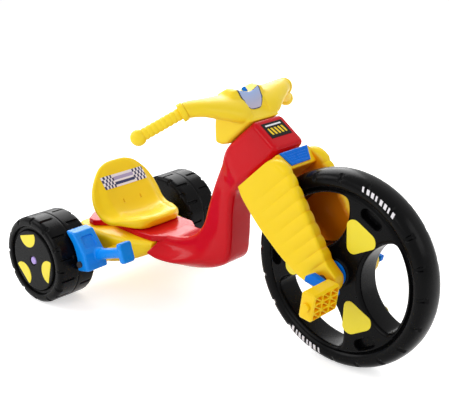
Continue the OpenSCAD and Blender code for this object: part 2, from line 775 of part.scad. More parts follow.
// Outline of the console at one place across its width
function console_ring(q) = [for (c = console_shares) let (
    h = c.y > console_mid_shares.y ? c.y * q[2] : c.y,
    reach = mix(console_mid_shares.x, c.x, q[1]), height = mix(console_mid_shares.y, h, q[1]))
    [reach * console_back, -q[0] * console_w / 2, bar_s + height * console_h]];

// Ring round an arm: it turns from facing straight out to facing along the grip
function arm_ring(a) = let (
    v = grip_way / norm(grip_way),
    n = mix([0, 1, 0], v, ease(max(0, (a[0] - arm_turn_share) / (1 - arm_turn_share)))),
    u = n / norm(n), e = [u.y, -u.x, 0] / norm([u.x, u.y]), f = cross(u, e))
    [for (i = [0 : arm_sides - 1]) let (t = 360 * i / arm_sides)
        [a[1] * console_back, a[0] * elbow_y, bar_s + a[2] * elbow_h]
            + grip_d * ((a[3] * cos(t) + a[5] * sin(t)) * e + a[4] * sin(t) * f)];

// Stands a piece at the left elbow with +Z along the grip
module along_grip() {
    last = arm_shares[len(arm_shares) - 1];
    translate([last[1] * console_back, elbow_y, bar_s + last[2] * elbow_h])
        rotate([0, acos(grip_way.z / norm(grip_way)), atan2(grip_way.y, grip_way.x)]) children();
}

// Ribbed grip with a collar at the elbow and a ball at its end
module grip(side) {
    bore = spigot_d / 2 + run_fit;
    l = norm(grip_way);
    pitch = (l - collar_t - ball_d / 3) / grip_rings;
    color(yellow) at_steering() on_side(side) along_grip() rotate_extrude() polygon(concat(
        [[bore, 0], [collar_d / 2 - ring_deep, 0], [collar_d / 2, ring_deep],
            [collar_d / 2, collar_t - ring_deep]],
        [for (i = [0 : grip_rings - 1], j = [0 : 3])
            [grip_d / 2 - ring_deep + ring_deep * sin(45 * j), collar_t + (i + j / 4) * pitch]],
        [for (a = [-40 : 10 : 90]) [cos(a) * ball_d / 2, l + sin(a) * ball_d / 2]],
        [[0, spigot_l + seat_fit], [bore, spigot_l + seat_fit]]));
}

module at_knob() {
    translate([knob_share * console_back, 0, bar_s + knob_h_share * console_h]) children();
}

// Blue knob on the console behind the windscreen
module dash_knob() {
    color(blue) at_steering() at_knob() {
        cylinder(d = knob_d, h = 2 * knob_t);
        translate([0, 0, 2 * knob_t]) cylinder(d1 = knob_d, d2 = knob_d / 2, h = knob_t / 2);
    }
}

// Bush for the crank axle in a fork leg, with a flange against the wheel's hub
module axle_bush(side) {
    color("ivory") at_hub() on_side(side) difference() {
        union() {
            bar(axle_bush_d, leg_in - flange_t, bush_end_y);
            bar(axle_flange_d, leg_in - flange_t, leg_in);
        }
        bar(crank_axle_d + 2 * run_fit, leg_in - flange_t - overrun, bush_end_y + overrun);
    }
}

// Section of the front wheel: a flat web and a tyre with rounded shoulders
module front_section() {
    mid = front_r - tyre_depth / 2;
    polygon(concat([[0, -web_w / 2], [front_r - tyre_depth, -web_w / 2]],
        [for (a = [-132 : 12 : 132]) [mid + bend(cos(a), tyre_round) * tyre_depth / 2,
            bend(sin(a), tyre_round) * tyre_w / 2]],
        [[front_r - tyre_depth, web_w / 2], [0, web_w / 2]]));
}

// Black front wheel: three windows, badge seats, oval recesses and notched shoulders
module front_wheel() {
    color(black) at_hub() difference() {
        union() {
            turned() front_section();
            bar(2 * hub_r, -hub_y, hub_y);
        }
        bar(crank_axle_d + 2 * run_fit, -hub_y - overrun, hub_y + overrun);
        for (k = [0 : 2]) rotate([0, 120 * k, 0]) window_cut();
        for (side = [left, right], k = [0 : 2]) on_side(side) rotate([0, 120 * k + 60, 0]) {
            slab(web_w / 2 - badge_deep, web_w / 2 + overrun) badge_outline(front_badge);
            slab(web_w / 2 - oval_deep, web_w / 2 + overrun) oval_outline();
        }
        for (side = [left, right], k = [0 : front_notches - 1])
            on_side(side) rotate([0, 360 * k / front_notches, 0]) notch_cut();
    }
}

module window_cut() {
    intersection() {
        bar(2 * (front_r - tyre_depth - window_land), -web_w, web_w);
        translate([window_c, 0, 0]) bar(2 * window_r, -web_w, web_w);
    }
}

// Slot with round ends across a spoke, outboard of the badge
module oval_outline() {
    polygon([for (s = [-1, 1], a = [0 : 15 : 180]) [oval_c + s * oval_r * -cos(a),
        s * (oval_half + oval_r * sin(a))]]);
}

module notch_cut() {
    translate([front_r - notch_deep, tyre_w / 2 - notch_l, -notch_t / 2])
        cube([notch_deep + overrun, notch_l + overrun, notch_t]);
}

// Rounded triangle along a spoke: tip place, outer place, half width, tip radius, outer radius
module badge_outline(b, grow = 0) {
    polygon(concat(
        [for (a = [120 : 20 : 240]) [b[0] + (b[3] + grow) * cos(a), (b[3] + grow) * sin(a)]],
        [for (a = [-100 : 20 : 0]) [b[1] + (b[4] + grow) * cos(a), -b[2] + (b[4] + grow) * sin(a)]],
        [for (a = [0 : 20 : 100]) [b[1] + (b[4] + grow) * cos(a), b[2] + (b[4] + grow) * sin(a)]]));
}

// Three lemon badges on one side of the front wheel
module front_badges(side) {
    color(lemon) at_hub() on_side(side) for (k = [0 : 2]) rotate([0, 120 * k + 60, 0])
        slab(web_w / 2 - badge_deep, web_w / 2 - badge_deep + badge_t) badge_outline(front_badge, -seat_fit);
}

// Blue flange between the wheel's hub and the fork's bush
module hub_flange(side) {
    color(blue) at_hub() on_side(side) difference() {
        union() {
            bar(2 * hub_flange_r, hub_y, hub_y + hub_flange_t);
            bar(axle_flange_d, hub_y, hub_end_y);
        }
        bar(crank_axle_d + 2 * run_fit, hub_y - overrun, hub_end_y + overrun);
    }
}

module crank_axle() {
    color(steel) at_hub() bar(crank_axle_d, -axle_tip_y, axle_tip_y);
}

// Blue crank arm from the axle's end to the pedal spindle
module crank(side) {
    turn = side == left ? crank_drop + 180 : crank_drop;
    color(blue) at_hub() difference() {
        rotate([0, turn, 0]) on_side(side) slab(crank_y, crank_out) crank_outline();
        on_side(side) bar(crank_axle_d + 2 * run_fit, crank_y - overrun, axle_tip_y + seat_fit);
        rotate([0, turn, 0]) translate([crank_r, 0, 0]) on_side(side)
            bar(spindle_d + 2 * run_fit, spindle_root, crank_out + overrun);
    }
}

// Side of a crank arm: a slanted tail behind the axle and an arc round the spindle
module crank_outline() {
    polygon(concat(
        [[-crank_tail / 2, crank_w / 2], [-crank_tail, 0], [-crank_tail, -crank_w / 2]],
        [for (a = [-90 : 10 : 90]) [crank_r + cos(a) * crank_w / 2, sin(a) * crank_w / 2]]));
}

module spindle(side) {
    color(steel) at_spindle(side) on_side(side) bar(spindle_d, spindle_root, pedal_out + spindle_cap_t / 2);
}

// Push-on cap that keeps a pedal on its spindle
module spindle_cap(side) {
    foot = pedal_out + seat_fit;
    color(yellow) at_spindle(side) on_side(side) difference() {
        bar(spindle_cap_d, foot, foot + spindle_cap_t);
        bar(spindle_d + 2 * run_fit, foot - overrun, pedal_out + spindle_cap_t / 2);
    }
}

// Rectangle with round corners
module rounded(w, h, r) {
    square([w - 2 * r, h], center = true);
    square([w, h - 2 * r], center = true);
    for (x = [-1, 1], y = [-1, 1]) translate([x * (w / 2 - r), y * (h / 2 - r)]) circle(r = r);
}

// Yellow pedal block with waffle pockets in both treads
module pedal(side) {
    cell_y = (pedal_l - waffle_rib) / waffle_rows;
    cell_z = (pedal_h - waffle_rib) / waffle_rows;
    color(yellow) at_spindle(side) on_side(side) rotate([0, pedal_turn, 0]) difference() {
        slab(pedal_in, pedal_out) rounded(pedal_t, pedal_h, pedal_r);
        bar(spindle_d + 2 * run_fit, pedal_in - overrun, pedal_out + overrun);
        for (face = [0, 180], i = [0 : waffle_rows - 1], j = [0 : waffle_rows - 1])
            rotate([0, face, 0]) translate([pedal_t / 2 - waffle_deep,
                    pedal_in + waffle_rib + i * cell_y, -pedal_h / 2 + waffle_rib + j * cell_z])
                cube([waffle_deep + overrun, cell_y - waffle_rib, cell_z - waffle_rib]);
    }
}

// Section of a rear wheel: tread, round shoulders, grooved outer face and a long inner hub
module rear_section() {
    floor_y = wheel_out - groove_deep;
    polygon(concat([[0, hub_in], [hub_boss_r, hub_in], [hub_boss_r, wheel_in]],
        [for (a = [-90 : 15 : 0]) [rear_r - shoulder_r + shoulder_r * cos(a),
            wheel_in + shoulder_r + shoulder_r * sin(a)]],
        [for (a = [0 : 15 : 90]) [rear_r - shoulder_r + shoulder_r * cos(a),
            wheel_out - shoulder_r + shoulder_r * sin(a)]],
        [[groove_r, wheel_out], [groove_r - groove_slope, floor_y], [disc_r + groove_slope, floor_y],
            [disc_r, disc_y], [0, disc_y]]));
}

// Wide black rear wheel with staggered tread slots, notched shoulders and badge seats
module rear_wheel(side) {
    mid = (wheel_in + wheel_out) / 2;
    color(black) at_rear_axle() on_side(side) difference() {
        turned() rear_section();
        bar(rear_axle_d + 2 * run_fit, hub_in - overrun, wheel_out);
        bar(2 * socket_r, socket_y, wheel_out);
        turned() translate([rear_r - seam_deep, mid - seam_t / 2]) square([seam_deep + overrun, seam_t]);
        for (k = [0 : rear_slots - 1]) {
            tread_cut((k + 0.5) / rear_slots, mid + seam_t + slot_l / 4, slot_l, slot_t);
            tread_cut(k / rear_slots, mid - seam_t - slot_l * 5 / 4, slot_l, slot_t);
            tread_cut(k / rear_slots, wheel_out - shoulder_r, shoulder_r + overrun, lug_t);
            tread_cut((k + 0.5) / rear_slots, wheel_in - overrun, shoulder_r + overrun, lug_t);
        }
        for (k = [0 : 2]) rotate([0, 120 * k + rear_badge_turn, 0])
            slab(disc_y - badge_deep, disc_y + overrun) badge_outline(rear_badge);
    }
}

// Cut across the tread at a share of a turn
module tread_cut(turn, y, l, t) {
    rotate([0, 360 * turn, 0]) translate([rear_r - slot_deep, y, -t / 2]) cube([slot_deep + overrun, l, t]);
}

// Three lemon badges in the outer face of a rear wheel
module rear_badges(side) {
    foot = disc_y - badge_deep;
    color(lemon) at_rear_axle() on_side(side) for (k = [0 : 2]) rotate([0, 120 * k + rear_badge_turn, 0])
        slab(foot, foot + badge_t) badge_outline(rear_badge, -seat_fit);
}

// Blue hand brake: a block that hugs the right tyre, a round handle and a cross plate
module brake_lever() {
    color(blue) difference() {
        union() {
            stand() slab(-block_out, -block_in) block_outline();
            at_handle() cylinder(d = handle_d, h = handle_l);
            at_handle() translate([-plate_h / 2, -plate_w / 2, handle_l - plate_t])
                cube([plate_h, plate_w, plate_t]);
        }
        at_pivot() bar(brake_bolt_d + 2 * run_fit, -block_out - overrun, -block_in + overrun);
        stand() translate([pocket_at.x, -(block_in + block_out) / 2, pocket_at.y]) rotate([0, pocket_tilt, 0])
            cube([2 * block_pocket_deep, block_w / 2, block_w / 2], center = true);
    }
}

// Side of the brake block: an arc about the rear axle, closed by a sloping front
module block_outline() {
    r = rear_r + block_gap;
    polygon(concat(
        [for (i = [0 : block_steps]) let (a = mix(block_top_angle, block_low_angle, i / block_steps))
            [r * cos(a), rear_r + r * sin(a)]],
        [block_front, block_knee, block_head]));
}

// Stands a piece at the root of the brake handle with +Z along it
module at_handle() {
    at_pivot() translate([boss_r / 2, -handle_y, boss_r]) rotate([0, 90 - handle_tilt, 0]) children();
}

main_frame();
rear_frame();
seat();
seat_bolts();
frame_bolts();
rear_axle();
axle_washers();
axle_cap(right);  // axle_cap_right
axle_cap(left);  // axle_cap_left
steering_bush(head_s);  // steering_bush_lower
steering_bush(head_top_s - post_bush_l);  // steering_bush_upper
brake_bolt();
fork_half(right);  // fork_right
fork_half(left);  // fork_left
fork_dowels();
grille_plate();
steering_post();
steering_washers();
post_nut();
handlebar();
grip(right);  // grip_right
grip(left);  // grip_left
dash_knob();
axle_bush(right);  // axle_bush_right
axle_bush(left);  // axle_bush_left
front_wheel();
front_badges(right);  // front_badges_right
front_badges(left);  // front_badges_left
hub_flange(right);  // hub_flange_right
hub_flange(left);  // hub_flange_left
crank_axle();
crank(right);  // crank_right
crank(left);  // crank_left
spindle(right);  // spindle_right
spindle(left);  // spindle_left
spindle_cap(right);  // spindle_cap_right
spindle_cap(left);  // spindle_cap_left
pedal(right);  // pedal_right
pedal(left);  // pedal_left
rear_wheel(right);  // rear_wheel_right
rear_wheel(left);  // rear_wheel_left
rear_badges(right);  // rear_badges_right
rear_badges(left);  // rear_badges_left
brake_lever();
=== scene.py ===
"""Looks of the pedal tricycle: surfaces worked out with numpy, dressed with procedural finishes.

Every length is in millimetres in the part's own frame, whose origin lies on the floor midway
between the ends of the tricycle. The mesh builder turns them into metres.
"""

import logging
import math
from collections.abc import Callable
from dataclasses import dataclass
from enum import Enum
from typing import ClassVar

import bmesh
import bpy
import numpy as np
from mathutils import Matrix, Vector


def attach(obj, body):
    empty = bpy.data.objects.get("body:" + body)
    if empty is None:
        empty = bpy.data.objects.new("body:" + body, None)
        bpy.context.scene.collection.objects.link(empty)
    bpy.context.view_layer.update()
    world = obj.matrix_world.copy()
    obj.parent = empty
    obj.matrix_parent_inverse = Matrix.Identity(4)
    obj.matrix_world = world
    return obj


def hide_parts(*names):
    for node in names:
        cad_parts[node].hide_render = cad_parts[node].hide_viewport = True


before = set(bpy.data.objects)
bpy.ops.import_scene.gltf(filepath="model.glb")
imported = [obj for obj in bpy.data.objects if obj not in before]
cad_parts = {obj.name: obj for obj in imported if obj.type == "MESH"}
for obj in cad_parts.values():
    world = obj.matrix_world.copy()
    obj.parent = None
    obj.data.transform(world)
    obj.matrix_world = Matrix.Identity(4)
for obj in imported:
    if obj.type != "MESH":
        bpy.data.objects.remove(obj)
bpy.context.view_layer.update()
LOG = logging.getLogger("tricycle")
MM = 0.001
PRINT_T = 0.5
PRINT_LIFT = 0.45

Colour = tuple[int, int, int]
Socket = bpy.types.NodeSocket
Numbers = tuple[float, ...]
Rows = tuple[Numbers, ...]
Names = tuple[str, ...]
Value = Socket | float | Numbers
Relief = Callable[[np.ndarray, np.ndarray, np.ndarray], np.ndarray]


class Side(Enum):
    """Sides of the tricycle, as the sign of Y."""

    LEFT = 1
    RIGHT = -1

    @property
    def label(self) -> str:
        """Name of the side in node and piece names."""
        return self.name.lower()


class Pattern(Enum):
    """What a finish is printed with."""

    PLAIN = "plain"
    CHEQUER = "chequer"
    SCREEN = "screen"
    BARS = "bars"


@dataclass(frozen=True)
class Layout:
    """Sizes and places that several parts share."""

    wheelbase: float = 678.0
    front_r: float = 202.0
    rear_r: float = 101.0
    rear_x: float = -389.5
    rear_in: float = 152.0
    rear_out: float = 254.0
    deck_z: float = 159.0
    spine_t: float = 14.0
    tail_x: float = 202.7
    steer_angle: float = 47.5
    head_s: float = 253.0
    head_h: float = 82.0
    brake_pivot: Numbers = (116.15, 112.11)
    brake_boss_r: float = 14.0

    @property
    def front_hub(self) -> np.ndarray:
        """Middle of the front wheel."""
        return np.array([self.rear_x + self.wheelbase, 0.0, self.front_r])

    @property
    def rear_hub(self) -> np.ndarray:
        """Middle of the rear axle."""
        return np.array([self.rear_x, 0.0, self.rear_r])


LAYOUT = Layout()


def linear(rgb: Colour) -> tuple[float, float, float, float]:
    """Linear colour of an 8-bit display colour.

    Args:
        rgb: the display colour.

    Returns:
        Linear red, green and blue, then an alpha of 1.
    """
    c = np.array(rgb) / 255.0
    lin = np.where(c <= 0.04045, c / 12.92, ((c + 0.055) / 1.055) ** 2.4)
    return (*lin.tolist(), 1.0)


def ease(t: np.ndarray) -> np.ndarray:
    """Smooth step from 0 to 1, held flat outside."""
    t = np.clip(t, 0.0, 1.0)
    return t * t * (3.0 - 2.0 * t)


def mix(a: np.ndarray | float, b: np.ndarray | float, t: np.ndarray | float) -> np.ndarray:
    """Value at share t of the way from a to b."""
    return a + (b - a) * t


def bent(values: np.ndarray, power: float) -> np.ndarray:
    """Values raised to a power, with their signs kept."""
    return np.sign(values) * np.abs(values) ** power


def ramp(depth: np.ndarray, width: float) -> np.ndarray:
    """Smooth rise from 0 to 1 over a width, half way where the depth is zero."""
    return ease((depth + width / 2) / width)


def unit(vector: np.ndarray) -> np.ndarray:
    """Vector of length 1 in the same direction."""
    return vector / np.linalg.norm(vector)


def turns(count: int) -> np.ndarray:
    """Even angles once round, in radians."""
    return np.linspace(0, 2 * np.pi, count, endpoint=False)


def arc(centre: Numbers, radius: float, start: float, end: float, count: int) -> np.ndarray:
    """Points of an arc in a plane, from one angle in degrees to another."""
    a = np.radians(np.linspace(start, end, count))
    return np.asarray(centre) + radius * np.stack([np.cos(a), np.sin(a)], 1)


def circle(centre: Numbers, radius: float, count: int) -> np.ndarray:
    """Points once round a circle in a plane."""
    a = turns(count)
    return np.asarray(centre) + radius * np.stack([np.cos(a), np.sin(a)], 1)


def spline(rows: np.ndarray, per: int) -> np.ndarray:
    """Smooth curve through rows of values.

    The curve is a Catmull-Rom cubic between each pair of rows, with one mirrored row past each end.

    Args:
        rows: one row of values per place.
        per: steps between two rows.

    Returns:
        The rows of the finer curve.
    """
    rows = np.asarray(rows, float)
    n = len(rows)
    p = np.vstack([2 * rows[0] - rows[1], rows, 2 * rows[-1] - rows[-2]])
    t = np.linspace(0.0, n - 1.0, (n - 1) * per + 1)
    i = np.minimum(t.astype(int), n - 2)
    f = (t - i)[:, None]
    a, b, c, d = p[i], p[i + 1], p[i + 2], p[i + 3]
    return 0.5 * (2 * b + (c - a) * f + (2 * a - 5 * b + 4 * c - d) * f**2 + (3 * b - a - 3 * c + d) * f**3)


def dense(path: np.ndarray, step: float, closed: bool) -> np.ndarray:
    """Points at even spacing along a polyline.

    Args:
        path: corner points in a plane.
        step: spacing of the new points.
        closed: whether the last corner joins the first.

    Returns:
        The evenly spaced points.
    """
    path = np.asarray(path, float)
    ends = np.vstack([path, path[:1]]) if closed else path
    run = np.concatenate([[0.0], np.cumsum(np.linalg.norm(np.diff(ends, axis=0), axis=1))])
    count = max(int(run[-1] / step), 8)
    at = np.linspace(0.0, run[-1], count + 1)
    at = at[:-1] if closed else at
    return np.stack([np.interp(at, run, ends[:, k]) for k in range(ends.shape[1])], 1)


def soften(path: np.ndarray, step: float, radius: float, closed: bool) -> np.ndarray:
    """Polyline with rounded corners: even points, averaged over a window as wide as the radius.

    Args:
        path: corner points in a plane.
        step: spacing of the points.
        radius: about how far from a corner the rounding starts.
        closed: whether the last corner joins the first.

    Returns:
        The rounded points.
    """
    points = dense(path, step, closed)
    half = max(int(radius / step), 1)
    kernel = np.hanning(2 * half + 3)[1:-1]
    kernel /= kernel.sum()
    if closed:
        wide = np.vstack([points[-half:], points, points[:half]])
    else:
        before = 2 * points[0] - points[half:0:-1]
        after = 2 * points[-1] - points[-2 : -half - 2 : -1]
        wide = np.vstack([before, points, after])
    return np.stack([np.convolve(wide[:, k], kernel, "valid") for k in range(points.shape[1])], 1)


def inset(outline: np.ndarray, amount: float) -> np.ndarray:
    """Closed outline moved inwards along its normals.

    Args:
        outline: points of the outline, either way round.
        amount: how far each point moves.

    Returns:
        The moved points.
    """
    area = np.sum(outline[:, 0] * np.roll(outline[:, 1], -1) - np.roll(outline[:, 0], -1) * outline[:, 1])
    along = np.roll(outline, -1, 0) - np.roll(outline, 1, 0)
    along /= np.maximum(np.linalg.norm(along, axis=1, keepdims=True), 1e-9)
    inward = np.stack([-along[:, 1], along[:, 0]], 1) * np.sign(area)
    return outline + inward * amount


def rounded_box(w: float, h: float, radius: float, step: float) -> np.ndarray:
    """Outline of a rectangle about zero with round corners.

    Args:
        w: size along the first coordinate.
        h: size along the second coordinate.
        radius: radius of the corners.
        step: spacing of the points.

    Returns:
        The evenly spaced points.
    """
    x, y = w / 2 - radius, h / 2 - radius
    middles = ((x, y, 0), (-x, y, 90), (-x, -y, 180), (x, -y, 270))
    corners = [arc((cx, cy), radius, start, start + 90, 9) for cx, cy, start in middles]
    return dense(np.vstack(corners), step, True)


@dataclass
class Shell:
    """Points and faces of a surface, in millimetres."""

    points: np.ndarray
    quads: np.ndarray
    tris: np.ndarray
    uv: np.ndarray

    @classmethod
    def grid(cls, rows: np.ndarray, ring: bool = True, capped: bool = True) -> "Shell":
        """Surface over a grid: each cell between two rows and two columns is one face.

        Args:
            rows: points with shape (rows, columns, 3).
            ring: whether the last column joins the first.
            capped: whether a fan closes the first and the last row.

        Returns:
            The surface, with its grid places as texture places.
        """
        m, n, _ = rows.shape
        at = np.arange(m * n).reshape(m, n)
        here, there = (at, np.roll(at, -1, 1)) if ring else (at[:, :-1], at[:, 1:])
        quads = np.stack([here[:-1], there[:-1], there[1:], here[1:]], -1).reshape(-1, 4)
        points = rows.reshape(-1, 3)
        v, u = np.meshgrid(np.linspace(0, 1, m), np.linspace(0, 1, n), indexing="ij")
        uv = np.stack([u, v], -1).reshape(-1, 2)
        tris = np.zeros((0, 3), int)
        if capped:
            points = np.vstack([points, rows[0].mean(0), rows[-1].mean(0)])
            uv = np.vstack([uv, [[0.5, 0.0], [0.5, 1.0]]])
            first, last = at[0], at[-1]
            low = np.stack([np.full(n, m * n), np.roll(first, -1), first], -1)
            high = np.stack([np.full(n, m * n + 1), last, np.roll(last, -1)], -1)
            tris = np.vstack([low, high])
        return cls(points, quads, tris, uv)

    @classmethod
    def sheet(cls, rows: np.ndarray) -> "Shell":
        """Open surface over a grid."""
        return cls.grid(rows, ring=False, capped=False)

    @classmethod
    def join(cls, shells: list["Shell"]) -> "Shell":
        """Several surfaces as one.

        Args:
            shells: the surfaces, in order.

        Returns:
            One surface with all their points and faces.
        """
        starts = np.cumsum([0] + [len(s.points) for s in shells[:-1]])
        return cls(
            np.vstack([s.points for s in shells]),
            np.vstack([s.quads + k for s, k in zip(shells, starts)]),
            np.vstack([s.tris + k for s, k in zip(shells, starts)]),
            np.vstack([s.uv for s in shells]),
        )

    def moved(self, points: np.ndarray) -> "Shell":
        """Same faces on other points."""
        return Shell(points, self.quads, self.tris, self.uv)

    def mirrored(self, side: Side) -> "Shell":
        """The left piece itself, or its right twin."""
        return self.moved(self.points * np.array([1.0, float(side.value), 1.0]))

    def turned_about_y(self, degrees: float) -> "Shell":
        """Surface turned about the Y axis through the origin.

        Args:
            degrees: angle that carries X towards -Z.

        Returns:
            The turned surface.
        """
        c, s = math.cos(math.radians(degrees)), math.sin(math.radians(degrees))
        x, y, z = self.points.T
        return self.moved(np.stack([x * c + z * s, y, z * c - x * s], 1))

    def shifted(self, offset: np.ndarray) -> "Shell":
        """Surface moved by an offset."""
        return self.moved(self.points + np.asarray(offset, float))


def revolved(profile: np.ndarray, steps: int, relief: Relief | None = None) -> Shell:
    """Surface of revolution about the Y axis through the origin.

    A point at turn a is (r cos a, y, -r sin a), where r and y come from the profile, and the relief
    is added to r.

    Args:
        profile: radius and y along the section.
        steps: columns round the axis.
        relief: function of the turn, radius and y grids that gives a change of radius.

    Returns:
        The surface, closed at the axis where the profile starts and ends on it.
    """
    turn = turns(steps)[None, :]
    r = np.repeat(profile[:, :1], steps, 1)
    y = np.repeat(profile[:, 1:], steps, 1)
    if relief is not None:
        r = r + relief(turn, r, y)
    return Shell.grid(np.stack([r * np.cos(turn), y, -r * np.sin(turn)], -1), capped=False)


def puffed(outline: np.ndarray, low: float, high: float, edge: float, dome: float = 0.0) -> np.ndarray:
    """Rows of a prism over a closed outline, with a quarter round along the edges of both faces.

    Args:
        outline: closed outline in two coordinates.
        low: height of the lower face.
        high: height of the upper face.
        edge: radius of the quarter rounds.
        dome: how far the middle of the upper face rises.

    Returns:
        Points with shape (rows, columns, 3): the outline's two coordinates, then the height.
    """
    a = np.linspace(0, np.pi / 2, 6)
    inner = inset(outline, edge)
    core = inner.mean(0)
    rows = [(mix(core, inner, k), low) for k in (0.35, 0.8)]
    rows += [(inset(outline, edge * (1 - math.sin(t))), low + edge * (1 - math.cos(t))) for t in a]
    rows += [(inset(outline, edge * (1 - math.cos(t))), high - edge + edge * math.sin(t)) for t in a]
    rows += [(mix(core, inner, k), high + dome * (1 - k * k)) for k in (0.9, 0.7, 0.4, 0.15)]
    return np.stack([np.column_stack([xy, np.full(len(xy), h)]) for xy, h in rows])


def slab(outline: np.ndarray, low: float, high: float, edge: float, dome: float = 0.0) -> Shell:
    """Rounded prism whose outline lies in X and Z and whose height runs along Y."""
    return Shell.grid(puffed(outline, low, high, edge, dome)[..., [0, 2, 1]])


def barrel(radius: float, low: float, high: float, edge: float) -> Shell:
    """Round bar along Y with rounded ends."""
    return slab(circle((0.0, 0.0), radius, 48), low, high, edge)


@dataclass(frozen=True)
class SteeringFrame:
    """Frame along the steering axis: reach forwards of the axis, Y, and height over the hub."""

    angle: float = LAYOUT.steer_angle

    @property
    def up(self) -> np.ndarray:
        """Direction of the steering axis."""
        a = math.radians(self.angle)
        return np.array([-math.cos(a), 0.0, math.sin(a)])

    @property
    def ahead(self) -> np.ndarray:
        """Direction of the reach."""
        a = math.radians(self.angle)
        return np.array([math.sin(a), 0.0, math.cos(a)])

    def place(self, local: np.ndarray) -> np.ndarray:
        """Points in the part's frame.

        Args:
            local: points as reach, Y and height.

        Returns:
            The same points as X, Y and Z.
        """
        local = np.asarray(local, float)
        across = local[..., 1:2] * np.array([0.0, 1.0, 0.0])
        return LAYOUT.front_hub + local[..., :1] * self.ahead + across + local[..., 2:] * self.up

    def local(self, points: np.ndarray) -> np.ndarray:
        """Reach, Y and height of points in the part's frame."""
        d = points - LAYOUT.front_hub
        return np.stack([d @ self.ahead, d[..., 1], d @ self.up], -1)

    def stand(self, shell: Shell) -> Shell:
        """A surface given in this frame, put in the part's frame."""
        return shell.moved(self.place(shell.points))


STEER = SteeringFrame()


@dataclass
class Graph:
    """Node tree of a material or of the room, with short ways to add to it."""

    tree: bpy.types.NodeTree

    def feed(self, socket: Socket, value: Value) -> None:
        """Links a socket to another one, or sets its number or colour.

        Args:
            socket: the input.
            value: what it takes.
        """
        if isinstance(value, bpy.types.NodeSocket):
            self.tree.links.new(value, socket)
        else:
            socket.default_value = value

    def fill(self, node: bpy.types.Node, inputs: dict[str, Value]) -> None:
        """Gives a node its named inputs."""
        for name, value in inputs.items():
            self.feed(node.inputs[name], value)

    def node(self, kind: str, inputs: dict[str, Value], **options: str | int) -> bpy.types.Node:
        """Adds a node.

        Args:
            kind: type of the node, without the words that all of them start with.
            inputs: what each named input takes.
            options: settings of the node itself.

        Returns:
            The node.
        """
        node = self.tree.nodes.new(f"ShaderNode{kind}")
        for name, option in options.items():
            setattr(node, name, option)
        self.fill(node, inputs)
        return node

    def maths(self, operation: str, *values: Value) -> Socket:
        """Output of a maths node.

        Args:
            operation: what it does.
            values: one or two values, each a socket or a number.

        Returns:
            The result.
        """
        node = self.node("Math", {}, operation=operation)
        for socket, value in zip(node.inputs, values):
            self.feed(socket, value)
        return node.outputs[0]

    def off(self, value: Socket, middle: float) -> Socket:
        """How far a value lies from a middle."""
        return self.maths("ABSOLUTE", self.maths("SUBTRACT", value, middle))

    def near(self, value: Socket, middle: float, half: float) -> Socket:
        """1 where a value lies less than a half width from a middle."""
        return self.maths("LESS_THAN", self.off(value, middle), half)

    def ends(self, value: Socket, margin: float) -> Socket:
        """1 within a margin of either end of a 0 to 1 value."""
        return self.maths("GREATER_THAN", self.off(value, 0.5), 0.5 - margin)

    def noise(self, place: Socket, scale: float, detail: float) -> Socket:
        """Noise at a place."""
        return self.node("TexNoise", {"Scale": scale, "Detail": detail, "Vector": place}).outputs["Fac"]

    def span(self, value: Socket, given: tuple[float, float], made: tuple[float, float]) -> Socket:
        """A value carried from one range to another and held at its ends.

        Args:
            value: the value.
            given: the two ends that it comes in between.
            made: what they become.

        Returns:
            The carried value.
        """
        names = ("From Min", "From Max", "To Min", "To Max")
        return self.node("MapRange", {**dict(zip(names, given + made)), "Value": value}).outputs["Result"]

    def blend(self, kind: str, share: Socket, low: Value, high: Value) -> Socket:
        """Mix of two values.

        Args:
            kind: data type of the values.
            share: 0 for the first value and 1 for the second.
            low: first value.
            high: second value.

        Returns:
            The mixed value.
        """
        node = self.node("Mix", {"Factor": share, "A": low, "B": high}, data_type=kind)
        return node.outputs["Result"]

    def over(self, below: Socket, rgb: Colour, mask: Socket) -> Socket:
        """Colour laid over another where the mask is 1."""
        return self.blend("RGBA", mask, below, linear(rgb))

    def shown(self) -> Socket:
        """1 where the camera sees this, straight, mirrored or through glass, and otherwise 0.

        Returns:
            The output that says so.
        """
        path = self.node("LightPath", {}).outputs
        mirrored = self.maths("MAXIMUM", path["Is Camera Ray"], path["Is Glossy Ray"])
        return self.maths("MAXIMUM", mirrored, path["Is Transmission Ray"])


